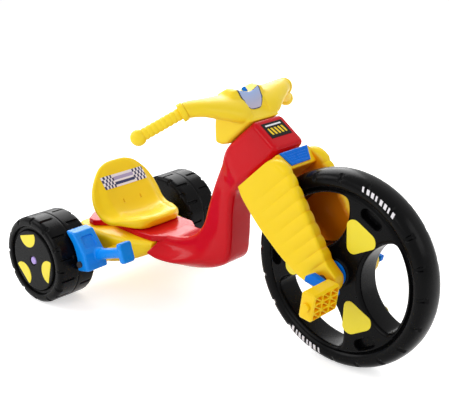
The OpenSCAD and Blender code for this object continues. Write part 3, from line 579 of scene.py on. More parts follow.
@dataclass(frozen=True)
class Finish:
    """A moulded, painted or metal surface, with its colour, gloss, grain and print, and where set a painted
    shade that darkens recesses.
    """

    name: str
    colour: Colour
    roughness: float
    gloss: float = 0.0
    spread: float = 0.05
    grain: float = 0.02
    metal: float = 0.0
    second: Colour = (255, 255, 255)
    third: Colour = (0, 0, 0)
    pattern: Pattern = Pattern.PLAIN
    # Colour of the painted shade mixed into recesses and between parts by ambient occlusion; None leaves it
    # out.
    painted_shade: Colour | None = None
    specular: float = 0.5
    slot: str = ""

    CLOUD: ClassVar[Numbers] = (9.0, 4.0)
    SMEAR: ClassVar[Numbers] = (55.0, 3.0)
    GRAIN: ClassVar[Numbers] = (900.0, 2.0)
    GRAIN_DEPTH: ClassVar[float] = 0.001
    COAT_ROUGHNESS: ClassVar[float] = 0.08
    IOR: ClassVar[float] = 1.48
    # Reach in metres of the ambient occlusion that places the painted shade.
    PAINTED_SHADE_REACH: ClassVar[float] = 0.16

    def material(self) -> bpy.types.Material:
        """The Blender material of this finish, made once."""
        return bpy.data.materials.get(self.name) or self.make()

    def make(self) -> bpy.types.Material:
        """Builds the node tree: cloudy colour, painted shade in recesses where set, print, uneven gloss and a
        fine moulded grain.

        Returns:
            The new material.
        """
        mat = bpy.data.materials.new(self.name)
        mat.use_nodes = True
        graph = Graph(mat.node_tree)
        place = graph.node("TexCoord", {}).outputs
        colour = self.cloud(graph, place["Object"])
        # Painted shade: a darker, warmer colour mixed in where ambient occlusion is low.
        if self.painted_shade is not None:
            colour = self.with_painted_shade(graph, colour)
        if self.pattern is not Pattern.PLAIN:
            colour = self.printed(graph, place["UV"], colour)
        smear = graph.noise(place["Object"], *self.SMEAR)
        rough = (self.roughness * 0.8, min(self.roughness * 1.25, 1.0))
        height = graph.noise(place["Object"], *self.GRAIN)
        bump = graph.node("Bump", {"Strength": self.grain, "Distance": self.GRAIN_DEPTH, "Height": height})
        inputs = {
            "Base Color": colour,
            "Roughness": graph.span(smear, (0.3, 0.7), rough),
            "Normal": bump.outputs["Normal"],
            "Metallic": self.metal,
            "Specular IOR Level": self.specular,
            "Coat Weight": self.gloss,
            "Coat Roughness": self.COAT_ROUGHNESS,
            "IOR": self.IOR,
        }
        graph.fill(mat.node_tree.nodes["Principled BSDF"], inputs)
        return mat

    def cloud(self, graph: Graph, place: Socket) -> Socket:
        """Colour that drifts a little between a darker and a lighter tone.

        Args:
            graph: node tree of the material.
            place: where a point lies.

        Returns:
            The colour.
        """
        base = np.array(linear(self.colour))[:3]
        dark, light = base * (1 - self.spread), np.minimum(base * (1 + self.spread), 1.0)
        tones = [(*tone.tolist(), 1.0) for tone in (dark, light)]
        return graph.blend("RGBA", graph.noise(place, *self.CLOUD), *tones)

    def with_painted_shade(self, graph: Graph, colour: Socket) -> Socket:
        """Painted shade: colour pulled towards a darker, warmer tone where ambient occlusion is low, in
        recesses and between parts, standing in for light bounced off the same moulding.

        Args:
            graph: node tree of the material.
            colour: colour in the open.

        Returns:
            The colour.
        """
        # The less open the surface, the more of the painted shade colour is mixed in.
        painted_shade = graph.node("AmbientOcclusion", {"Distance": self.PAINTED_SHADE_REACH}, samples=8)
        return graph.over(colour, self.painted_shade, graph.span(painted_shade.outputs["AO"], (0.75, 0.3), (0.0, 1.0)))

    def printed(self, graph: Graph, place: Socket, ground: Socket) -> Socket:
        """Colour of the print over the ground colour, from the piece's own texture places.

        Args:
            graph: node tree of the material.
            place: texture place.
            ground: colour under the print.

        Returns:
            The colour.
        """
        split = graph.node("SeparateXYZ", {"Vector": place}).outputs
        prints = {Pattern.SCREEN: self.screen, Pattern.BARS: self.bars, Pattern.CHEQUER: self.chequer}
        return prints[self.pattern](graph, split["X"], split["Y"], ground)

    def screen(self, graph: Graph, u: Socket, v: Socket, ground: Socket) -> Socket:
        """Tint that fades upwards, with a dark line all round.

        Args:
            graph: node tree of the material.
            u: place across.
            v: place upwards.
            ground: colour under the print.

        Returns:
            The colour.
        """
        fade, side_line, end_line = 0.9, 0.05, 0.06
        tint = graph.over(ground, self.second, graph.maths("MULTIPLY", v, fade))
        line = graph.maths("MAXIMUM", graph.ends(u, side_line), graph.ends(v, end_line))
        return graph.over(tint, self.third, line)

    def bars(self, graph: Graph, u: Socket, v: Socket, ground: Socket) -> Socket:
        """Six slanted bars in the middle of a dark panel, under one thin line.

        Args:
            graph: node tree of the material.
            u: place across.
            v: place upwards.
            ground: colour under the print.

        Returns:
            The colour.
        """
        count, slant, filled = 6.0, 0.12, 0.55
        bar_height, line_height = (0.42, 0.22), (0.82, 0.05)
        lean = graph.maths("ADD", u, graph.maths("MULTIPLY", v, slant))
        wave = graph.maths("FRACT", graph.maths("MULTIPLY", lean, count))
        width = graph.near(u, 0.5, 0.38)
        field = graph.maths("MULTIPLY", graph.near(v, *bar_height), width)
        barred = graph.maths("MULTIPLY", graph.maths("LESS_THAN", wave, filled), field)
        line = graph.maths("MULTIPLY", graph.near(v, *line_height), width)
        return graph.over(graph.over(ground, self.second, barred), self.third, line)

    def chequer(self, graph: Graph, u: Socket, v: Socket, ground: Socket) -> Socket:
        """Four rows of dark checks at both ends of a band, with two stripes between them.

        Args:
            graph: node tree of the material.
            u: place across.
            v: place upwards.
            ground: colour under the print.

        Returns:
            The colour.
        """
        checks, end_share = ((u, 26.0), (v, 4.0)), 0.27
        column, row = (graph.maths("FLOOR", graph.maths("MULTIPLY", place, count)) for place, count in checks)
        odd = graph.maths("MODULO", graph.maths("ADD", column, row), 2.0)
        ends = graph.ends(u, end_share)
        middle = graph.maths("SUBTRACT", 1.0, ends)
        colour = graph.over(ground, self.second, graph.maths("MULTIPLY", odd, ends))
        for rgb, height, half in ((self.third, 0.66, 0.13), (self.second, 0.27, 0.11)):
            colour = graph.over(colour, rgb, graph.maths("MULTIPLY", graph.near(v, height, half), middle))
        return colour


RED = Finish("red_gloss", (204, 6, 24), 0.2, 0.06, specular=0.12, slot="red_plastic")
# Painted shade: the fork's yellow turns deep orange in recesses, between the legs and under the crown.
YELLOW = Finish(
    "yellow_satin", (254, 214, 16), 0.4, 0.08, specular=0.24, painted_shade=(244, 134, 0), slot="yellow_plastic"
)
# Painted shade: pedals and spindle caps turn a darker orange-yellow in pockets and recesses.
PEDAL_YELLOW = Finish(
    "yellow_pedal", (252, 208, 14), 0.36, 0.08, specular=0.24, painted_shade=(250, 184, 0), slot="yellow_plastic"
)
BAR_YELLOW = Finish("yellow_pale", (254, 218, 40), 0.4, 0.08, specular=0.24, slot="yellow_plastic")
# Painted shade: the seat and the rear cradle take a barely darker yellow where ambient occlusion is low.
SEAT_YELLOW = Finish(
    "yellow_gloss", (254, 214, 16), 0.38, 0.08, specular=0.26, painted_shade=(254, 206, 10), slot="yellow_plastic"
)
LEMON = Finish("lemon_label", (244, 224, 34), 0.42, 0.1, slot="lemon_plastic")
BLUE = Finish("blue_gloss", (0, 114, 226), 0.3, 0.05, specular=0.08, slot="blue_plastic")
AZURE = Finish("azure_gloss", (8, 140, 242), 0.3, 0.08, specular=0.2, slot="blue_plastic")
BLACK = Finish("black_satin", (8, 8, 9), 0.24, spread=0.2, grain=0.03, specular=0.08, slot="black_plastic")
TRIM = Finish("black_trim", (20, 20, 22), 0.42, spread=0.2, slot="black_trim")
LILAC = Finish("lilac_cap", (176, 150, 222), 0.4, 0.1, slot="lilac_plastic")
BUSH = Finish("dark_bush", (44, 43, 45), 0.5, slot="bush_plastic")
STEEL = Finish("zinc_steel", (178, 180, 184), 0.34, metal=1.0, spread=0.1, grain=0.04, slot="steel")
WHITE_PRINT = Finish("white_print", (236, 232, 236), 0.5)
SCREEN_PRINT = Finish(
    "screen_print", (196, 184, 204), 0.22, 0.2,
    second=(150, 186, 240), third=(34, 40, 66), pattern=Pattern.SCREEN,
)
BAR_PRINT = Finish(
    "bar_print", (14, 12, 11), 0.35, specular=0.12,
    second=(248, 212, 50), third=(236, 236, 240), pattern=Pattern.BARS,
)
CHEQUER_PRINT = Finish(
    "chequer_print", (238, 232, 240), 0.35, 0.2,
    second=(26, 30, 88), third=(170, 158, 200), pattern=Pattern.CHEQUER,
)


class Piece:
    """Makes one Blender object from surfaces and hands it to the frame."""

    WALL: ClassVar[tuple[str, dict[str, object]]] = ("SOLIDIFY", {"thickness": PRINT_T * MM, "offset": 0.0})

    def __init__(self, name: str, shells: list[Shell], finish: Finish, crease: float = 38.0) -> None:
        """Builds the mesh with outward normals and smooth shading up to the crease angle.

        Args:
            name: name of the piece.
            shells: surfaces in millimetres.
            finish: finish of the whole piece.
            crease: angle in degrees past which an edge stays sharp.
        """
        shell = Shell.join(shells)
        mesh = bpy.data.meshes.new(name)
        mesh.from_pydata((shell.points * MM).tolist(), [], shell.quads.tolist() + shell.tris.tolist())
        corners = np.zeros(len(mesh.loops), np.int32)
        mesh.loops.foreach_get("vertex_index", corners)
        mesh.uv_layers.new(name="UVMap").data.foreach_set("uv", shell.uv[corners].astype(np.float32).ravel())
        self.crease = crease
        self.finish = finish
        self.obj = bpy.data.objects.new(name, mesh)
        bpy.context.scene.collection.objects.link(self.obj)
        self.clean(mesh)
        mesh.materials.append(finish.material())

    def clean(self, mesh: bpy.types.Mesh) -> None:
        """Merges doubles, turns the normals outwards and sets the shading.

        Args:
            mesh: the mesh to clean.
        """
        edit = bmesh.new()
        edit.from_mesh(mesh)
        bmesh.ops.remove_doubles(edit, verts=edit.verts, dist=2e-6)
        bmesh.ops.dissolve_degenerate(edit, edges=edit.edges, dist=1e-6)
        bmesh.ops.recalc_face_normals(edit, faces=edit.faces)
        edit.to_mesh(mesh)
        edit.free()
        mesh.shade_smooth()
        mesh.set_sharp_from_angle(angle=math.radians(self.crease))

    def modified(self, *modifiers: tuple[str, dict[str, object]]) -> "Piece":
        """Adds modifiers, then keeps their result as the mesh.

        Args:
            modifiers: kind and settings of each.

        Returns:
            This piece.
        """
        for kind, settings in modifiers:
            modifier = self.obj.modifiers.new(kind.lower(), kind)
            for name, value in settings.items():
                setattr(modifier, name, value)
        graph = bpy.context.evaluated_depsgraph_get()
        made = bpy.data.meshes.new_from_object(self.obj.evaluated_get(graph))
        self.obj.modifiers.clear()
        old = self.obj.data
        self.obj.data = made
        bpy.data.meshes.remove(old)
        self.clean(made)
        return self

    def cut(self, cutter: Shell) -> "Piece":
        """Takes a closed surface out of the piece.

        Args:
            cutter: the closed surface.

        Returns:
            This piece.
        """
        tool = Piece("cutter", [cutter], self.finish).obj
        self.modified(("BOOLEAN", {"operation": "DIFFERENCE", "solver": "EXACT", "object": tool}))
        bpy.data.objects.remove(tool)
        return self

    def fused(self, voxel: float, rounds: int) -> "Piece":
        """Makes overlapping surfaces one skin with soft inner corners.

        Args:
            voxel: size of the cells that the skin is rebuilt from.
            rounds: how many times it is smoothed.

        Returns:
            This piece.
        """
        self.crease = 180.0
        rebuilt = ("REMESH", {"mode": "VOXEL", "voxel_size": voxel * MM})
        self.modified(rebuilt, ("SMOOTH", {"factor": 0.5, "iterations": rounds}))
        self.obj.data.materials.clear()
        self.obj.data.materials.append(self.finish.material())
        return self

    def walled(self) -> "Piece":
        """Gives a printed sheet its thickness."""
        return self.modified(self.WALL)

    def laid_on(self, other: "Piece") -> "Piece":
        """Lays a printed sheet on another piece and gives it its thickness.

        Args:
            other: the piece that carries it.

        Returns:
            This piece.
        """
        wrap = {"target": other.obj, "wrap_method": "NEAREST_SURFACEPOINT", "wrap_mode": "OUTSIDE_SURFACE"}
        return self.modified(("SHRINKWRAP", {**wrap, "offset": PRINT_LIFT * MM}), self.WALL)

    def ride(self, body: str, *nodes: str) -> None:
        """Hands the piece to a body, in place of the named CAD nodes.

        Args:
            body: the body that it moves with.
            nodes: nodes that it stands for.
        """
        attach(self.obj, body)
        if nodes:
            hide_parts(*nodes)
        LOG.info("%s: %d faces, rides on %s", self.obj.name, len(self.obj.data.polygons), body)


@dataclass
class Lofted:
    """Sections along a body: two edges in X and Z, three half widths and a corner radius."""

    arc: int = 9
    middle: int = 26
    ledge: float = 34.0
    corner_share: float = 0.45
    face_inset: float = 1.9

    def rings(self, rows: np.ndarray) -> np.ndarray:
        """Rings of sections.

        A section runs straight from its rear edge to its front edge. Its half width eases from the
        first to the second value up to the flare, the later the more it flares, and on to the third,
        and the corners are quarter rounds.

        Args:
            rows: rear X and Z, front X and Z, three half widths, place of the flare, corner radius.

        Returns:
            Points with shape (rows, columns, 3).
        """
        x0, z0, x1, z1, w0, w1, w2, place, corner = (c[:, None] for c in rows.T)
        length = np.hypot(x1 - x0, z1 - z0)
        r = np.minimum(corner, self.corner_share * length)
        a = np.linspace(0, np.pi / 2, self.arc)[None, :]
        low_t, low_d = (1 - np.cos(a)) * r / length, r * (1 - np.sin(a))
        share = np.linspace(0, 1, self.middle + 2)[None, 1:-1]
        mid_t = r / length + (1 - 2 * r / length) * share
        t = np.hstack([low_t, mid_t, 1 - low_t[:, ::-1]])
        d = np.hstack([low_d, np.zeros_like(mid_t), low_d[:, ::-1]])
        late = 1 + np.clip((w1 - w0) / self.ledge, 0, 1)
        rise = mix(w0, w1, ease(np.clip(t / place, 0, 1) ** late))
        fall = mix(w1, w2, ease((t - place) / (1 - place)))
        half = np.where(t < place, rise, fall) - d
        both, y = np.hstack([t, t[:, ::-1]]), np.hstack([half, -half[:, ::-1]])
        return np.stack([mix(x0, x1, both), y, mix(z0, z1, both)], -1)

    def puffed_end(self, row: np.ndarray, beyond: Numbers, edge: float, out: float) -> np.ndarray:
        """Rows that close an end with a rounded edge and a flat face.

        Args:
            row: the end section.
            beyond: direction in X and Z in which the face stands out.
            edge: width of the rounding.
            out: how far the face stands out.

        Returns:
            Sections from the face to the end section.
        """
        along = unit(row[2:4] - row[0:2])
        normal = np.array([-along[1], along[0]])
        normal = normal if normal @ np.array(beyond) > 0 else -normal
        bend = np.linspace(np.pi / 2, 0, 7)[:-1]
        shares = np.concatenate([[self.face_inset], 1 - np.cos(bend)])
        rises = np.concatenate([[1.0], np.sin(bend)])
        made = np.repeat(row[None], len(shares), 0)
        shift = np.outer(rises * out, normal)
        pull = np.outer(shares * edge, along)
        made[:, 0:2] += shift + pull
        made[:, 2:4] += shift - pull
        made[:, 4:7] -= shares[:, None] * edge
        made[:, 8] = np.maximum(made[:, 8] - shares * edge, 1.0)
        return made


@dataclass
class Body:
    """Red moulded body: head, neck, deck with side flares and the spine under the seat."""

    neck_h: float = 400.0
    body_w: float = 184.0
    head_w: float = 92.0
    head_front: float = 39.0
    swing_r: float = 109.5
    trim_deep: float = 30.0
    face_row: int = 11
    face_way: Numbers = (1.0, 0.6)
    face_edge: float = 9.0
    tail_way: Numbers = (-1.0, 0.0)
    tail_edge: float = 4.0
    tail_out: float = 2.0
    spine_round: float = 8.0
    spine_edge: float = 3.0
    panel_half: float = 31.0
    panel_span: Numbers = (52.0, 14.0)
    panel_lift: float = 0.4
    head_shares: Rows = (
        (0.72, 0.98, 1.00, 0.16, 0.10),
        (0.64, 1.00, 1.04, 0.06, 0.13),
        (-0.26, 1.02, 0.20, 0.00, 0.15),
        (-1.15, 1.03, -1.20, 0.00, 0.16),
        (-2.00, 0.98, -2.40, 0.00, 0.16),
    )
    neck_shares: Rows = (
        (0.555, 0.898, 0.612, 0.750, 0.39, 0.43, 0.41, 0.60, 0.15),
        (0.531, 0.805, 0.602, 0.675, 0.38, 0.43, 0.41, 0.60, 0.14),
        (0.512, 0.718, 0.599, 0.620, 0.38, 0.43, 0.41, 0.60, 0.13),
        (0.494, 0.625, 0.597, 0.550, 0.38, 0.43, 0.41, 0.60, 0.13),
        (0.478, 0.535, 0.594, 0.450, 0.40, 0.44, 0.41, 0.60, 0.13),
        (0.451, 0.468, 0.583, 0.358, 0.43, 0.47, 0.41, 0.60, 0.13),
        (0.420, 0.434, 0.534, 0.300, 0.45, 0.54, 0.40, 0.62, 0.13),
        (0.386, 0.414, 0.469, 0.262, 0.46, 0.68, 0.40, 0.64, 0.12),
        (0.354, 0.403, 0.404, 0.243, 0.48, 0.83, 0.44, 0.65, 0.11),
        (0.322, 0.400, 0.348, 0.253, 0.52, 0.95, 0.56, 0.65, 0.10),
        (0.299, 0.398, 0.307, 0.280, 0.57, 1.00, 0.72, 0.65, 0.09),
    )
    spine_shares: Rows = (
        (1.12, 0.46),
        (0.96, 0.72),
        (0.76, 0.74),
        (0.26, 0.66),
        (0.11, 0.98),
        (0.00, 0.95),
        (-0.12, 0.58),
    )

    def on_head(self, reach: np.ndarray, height: np.ndarray) -> np.ndarray:
        """X and Z of places on the head, by their shares of its depth and height."""
        s = LAYOUT.head_s + height * LAYOUT.head_h
        return STEER.place(np.stack([reach * self.head_front, 0 * reach, s], 1))[:, [0, 2]]

    def rows(self) -> np.ndarray:
        """Sections from the head's face to the tail of the deck.

        Returns:
            One row per section, as a loft takes them.
        """
        h = np.array(self.head_shares)
        edges = [self.on_head(h[:, 0], h[:, 1]), self.on_head(h[:, 2], h[:, 3])]
        half = np.full(len(h), self.head_w / 2)
        head = np.column_stack([*edges, half, half, half, np.full(len(h), 0.5), h[:, 4] * self.head_w])
        w = self.body_w / 2
        edge = [LAYOUT.wheelbase, self.neck_h]
        neck = np.array(self.neck_shares) * np.array([*edge, *edge, w, w, w, 1.0, self.head_w])
        neck[:, [0, 2]] += LAYOUT.rear_x
        return spline(np.vstack([head, neck]), 9)

    def trimmed(self, points: np.ndarray) -> np.ndarray:
        """Head cut level above the fork's sweep and below the handlebar's.

        Args:
            points: points of the body.

        Returns:
            The points, with those in the way moved to the nearer level.
        """
        q = STEER.local(points)
        low, high = LAYOUT.head_s, LAYOUT.head_s + LAYOUT.head_h
        reach, s = np.hypot(q[..., 0], q[..., 1]), q[..., 2]
        under = (reach < self.swing_r) & (s < low) & (s > low - self.trim_deep)
        over = (reach < self.swing_r + self.head_w / 2) & (s > high)
        q[..., 2] = np.where(under, low, np.where(over, high, s))
        return STEER.place(q)

    def spine(self) -> Shell:
        """Flat spine under the seat: its plan, mirrored, softened and made solid.

        Returns:
            The closed surface.
        """
        near = np.array(self.spine_shares) * np.array([LAYOUT.tail_x, self.body_w / 2])
        plan = np.vstack([near, near[::-1] * np.array([1, -1])]) + np.array([LAYOUT.rear_x, 0])
        plan = soften(plan, 3.0, self.spine_round, True)
        return Shell.grid(puffed(plan, LAYOUT.deck_z - LAYOUT.spine_t, LAYOUT.deck_z, self.spine_edge))

    def build(self) -> None:
        """Builds the body and the panel on its face."""
        loft = Lofted()
        rows = self.rows()[self.face_row :]
        face = loft.puffed_end(rows[0], self.face_way, self.face_edge, self.face_edge)
        tail = loft.puffed_end(rows[-1], self.tail_way, self.tail_edge, self.tail_out)[::-1]
        skin = Shell.grid(self.trimmed(loft.rings(np.vstack([face, rows, tail]))))
        Piece("body_shell", [skin, self.spine()], RED).ride("frame", "main_frame")
        self.panel(rows[0])

    def panel(self, row: np.ndarray) -> None:
        """Generic panel of slanted bars on the head's face.

        The sheet lies on the plane of the face: across from the middle and down from the top edge.

        Args:
            row: first section of the head.
        """
        top, foot = np.array([row[0], 0, row[1]]), np.array([row[2], 0, row[3]])
        down = unit(foot - top)
        out = np.array([-down[2], 0, down[0]])
        out = out if out[0] > 0 else -out
        u, v = np.meshgrid(np.linspace(0, 1, 15), np.linspace(0, 1, 9))
        across = mix(-self.panel_half, self.panel_half, u)[..., None] * np.array([0, 1.0, 0])
        fall = mix(*self.panel_span, v)[..., None] * down
        sheet = Shell.sheet(top + across + fall + out * (self.face_edge + self.panel_lift))
        Piece("face_panel", [sheet], BAR_PRINT).walled().ride("frame")


@dataclass
class RearFrame:
    """Yellow cradle under the spine, with the boss for the brake bolt."""

    height: float = 78.0
    width: float = 216.0
    tail: float = 28.0
    corner: float = 13.0
    shares: Rows = (
        (0.97, 0.34, 0.68),
        (0.81, 0.56, 0.82),
        (0.64, 0.73, 0.94),
        (0.44, 0.88, 1.00),
        (0.20, 0.98, 1.00),
        (-0.04, 0.97, 0.98),
    )
    end_share: float = 0.86
    front_end: tuple[Numbers, float, float] = ((1.0, 0.0), 4.0, 2.0)
    rear_end: tuple[Numbers, float, float] = ((-1.0, 0.0), 8.0, 3.0)
    boss_gap: float = 0.2
    boss_edge: float = 2.0

    def build(self) -> None:
        """Builds the cradle and its boss."""
        q = np.vstack([np.array(self.shares), [-self.tail / LAYOUT.tail_x, self.end_share, self.end_share]])
        x = q[:, 0] * LAYOUT.tail_x + LAYOUT.rear_x
        top = np.full(len(q), LAYOUT.deck_z - LAYOUT.spine_t)
        w = q[:, 2] * self.width / 2
        flare, corner = np.full(len(q), 0.5), np.full(len(q), self.corner)
        rows = spline(np.stack([x, top, x, top - q[:, 1] * self.height, w, w, w, flare, corner], 1), 8)
        loft = Lofted(arc=8, middle=16)
        front = loft.puffed_end(rows[0], *self.front_end)
        rear = loft.puffed_end(rows[-1], *self.rear_end)[::-1]
        skin = Shell.grid(loft.rings(np.vstack([front, rows, rear])))
        radius, (pivot_x, pivot_z) = LAYOUT.brake_boss_r, LAYOUT.brake_pivot
        boss = barrel(radius, -LAYOUT.rear_in + self.boss_gap, -self.width / 2 + radius, self.boss_edge)
        boss = boss.shifted(np.array([pivot_x + LAYOUT.rear_x, 0, pivot_z]))
        Piece("rear_cradle", [skin, boss], SEAT_YELLOW).ride("frame", "rear_frame")


@dataclass
class Seat:
    """Yellow bucket seat: a wall of even thickness with a rim that turns back."""

    length: float = 166.0
    height: float = 125.0
    width: float = 200.0
    wall: float = 14.0
    lip_x: float = 164.2
    rim_share: float = 0.66
    shares: Rows = (
        (0.000, 0.100, 0.30, 0.0, 0.0, 0.90),
        (0.020, 0.108, 0.47, 0.1, 0.1, 1.60),
        (0.075, 0.110, 0.62, 0.3, 0.3, 1.85),
        (0.180, 0.092, 0.75, 0.8, 0.7, 1.55),
        (0.340, 0.066, 0.88, 1.2, 0.9, 1.10),
        (0.490, 0.088, 0.97, 1.0, 1.1, 1.05),
        (0.615, 0.205, 1.01, 0.7, 1.3, 1.00),
        (0.710, 0.375, 1.02, 0.5, 1.2, 1.00),
        (0.801, 0.562, 0.95, 0.5, 1.0, 1.00),
        (0.885, 0.742, 0.80, 0.4, 0.6, 1.00),
        (0.960, 0.906, 0.57, 0.2, 0.2, 0.85),
        (0.994, 0.980, 0.36, 0.0, 0.0, 0.55),
        (1.006, 1.004, 0.16, 0.0, 0.0, 0.35),
    )
    slot_size: Numbers = (10.0, 4.0, 42.0)
    slot_round: float = 1.6
    slot_edge: float = 0.5
    slot_turn: float = 40.0
    slot_shares: Numbers = (0.66, 0.29)
    slot_y: float = 26.0
    band_half: float = 65.0
    band_rows: Numbers = (79, 92)
    band_lift: float = 0.35

    def spot(self, shares: np.ndarray) -> np.ndarray:
        """X and Z at shares of the length behind the lip and of the height over the deck."""
        x = LAYOUT.rear_x + self.lip_x - shares[..., 0] * self.length
        return np.stack([x, LAYOUT.deck_z + shares[..., 1] * self.height], -1)

    def path(self) -> tuple[np.ndarray, np.ndarray]:
        """Rows along the seat and the direction of the path at each.

        Returns:
            X, Z, half width, dish, turn of the rim and wall of each row, then the directions in X and Z.
        """
        q = np.array(self.shares)
        rows = spline(np.column_stack([self.spot(q), q[:, 2] * self.width / 2, q[:, 3:] * self.wall]), 10)
        along = np.gradient(rows[:, :2], axis=0)
        return rows, along / np.linalg.norm(along, axis=1, keepdims=True)

    def lift(self, rows: np.ndarray, v: np.ndarray) -> np.ndarray:
        """Height over the path: a dish that rises outwards and a rim that turns back."""
        turn = ease((np.abs(v) - self.rim_share) / (1 - self.rim_share))
        return rows[:, 3:4] * v * v - rows[:, 4:5] * turn

    def stand(self, rows: np.ndarray, along: np.ndarray, y: np.ndarray, rise: np.ndarray) -> np.ndarray:
        """Points at places across the seat and heights square to its path."""
        return np.stack([rows[:, :1] + along[:, 1:] * rise, y, rows[:, 1:2] - along[:, :1] * rise], -1)

    def build(self) -> None:
        """Builds the shell, its two slots and the printed band."""
        rows, along = self.path()
        r = rows[:, 5:6] / 2
        w = rows[:, 2:3] - r
        v = np.linspace(-1, 1, 49)[None, :]
        a = np.linspace(0, np.pi, 11)[None, 1:-1]
        rise = self.lift(rows, v)
        edge = self.lift(rows, np.ones((1, 1)))
        y = np.hstack([w * v, w + r * np.sin(a), w * v[:, ::-1], -w - r * np.sin(a)])
        h = np.hstack([rise + r, edge + r * np.cos(a), rise[:, ::-1] - r, edge - r * np.cos(a)])
        seat = Piece("seat_bucket", [Shell.grid(self.stand(rows, along, y, h))], SEAT_YELLOW).fused(2.0, 14)
        for side in Side:
            seat.cut(self.slot(side))
        seat.ride("frame", "seat")
        self.band(rows, along, seat)

    def slot(self, side: Side) -> Shell:
        """Cutter of one slot in the seat.

        Args:
            side: where the slot lies.

        Returns:
            The closed surface.
        """
        long, wide, deep = self.slot_size
        outline = rounded_box(long, wide, self.slot_round, 0.8)
        cutter = Shell.grid(puffed(outline, -deep / 2, deep / 2, self.slot_edge))
        x, z = self.spot(np.array(self.slot_shares))
        return cutter.turned_about_y(self.slot_turn).shifted(np.array([x, self.slot_y * side.value, z]))

    def band(self, rows: np.ndarray, along: np.ndarray, seat: Piece) -> None:
        """Generic chequered band across the back: a patch of the seat's own surface, lifted off it.

        Args:
            rows: rows along the seat.
            along: direction of the path at each.
            seat: the piece that carries the band.
        """
        rows, along = (each[slice(*self.band_rows)] for each in (rows, along))
        u = np.linspace(-1, 1, 61)[None, :]
        r = rows[:, 5:6] / 2
        y = self.band_half * u * np.ones_like(r)
        h = self.lift(rows, y / (rows[:, 2:3] - r)) + r + self.band_lift
        sheet = Shell.sheet(self.stand(rows, along, y, h)[:, ::-1])
        Piece("seat_band", [sheet], CHEQUER_PRINT).laid_on(seat).ride("frame")


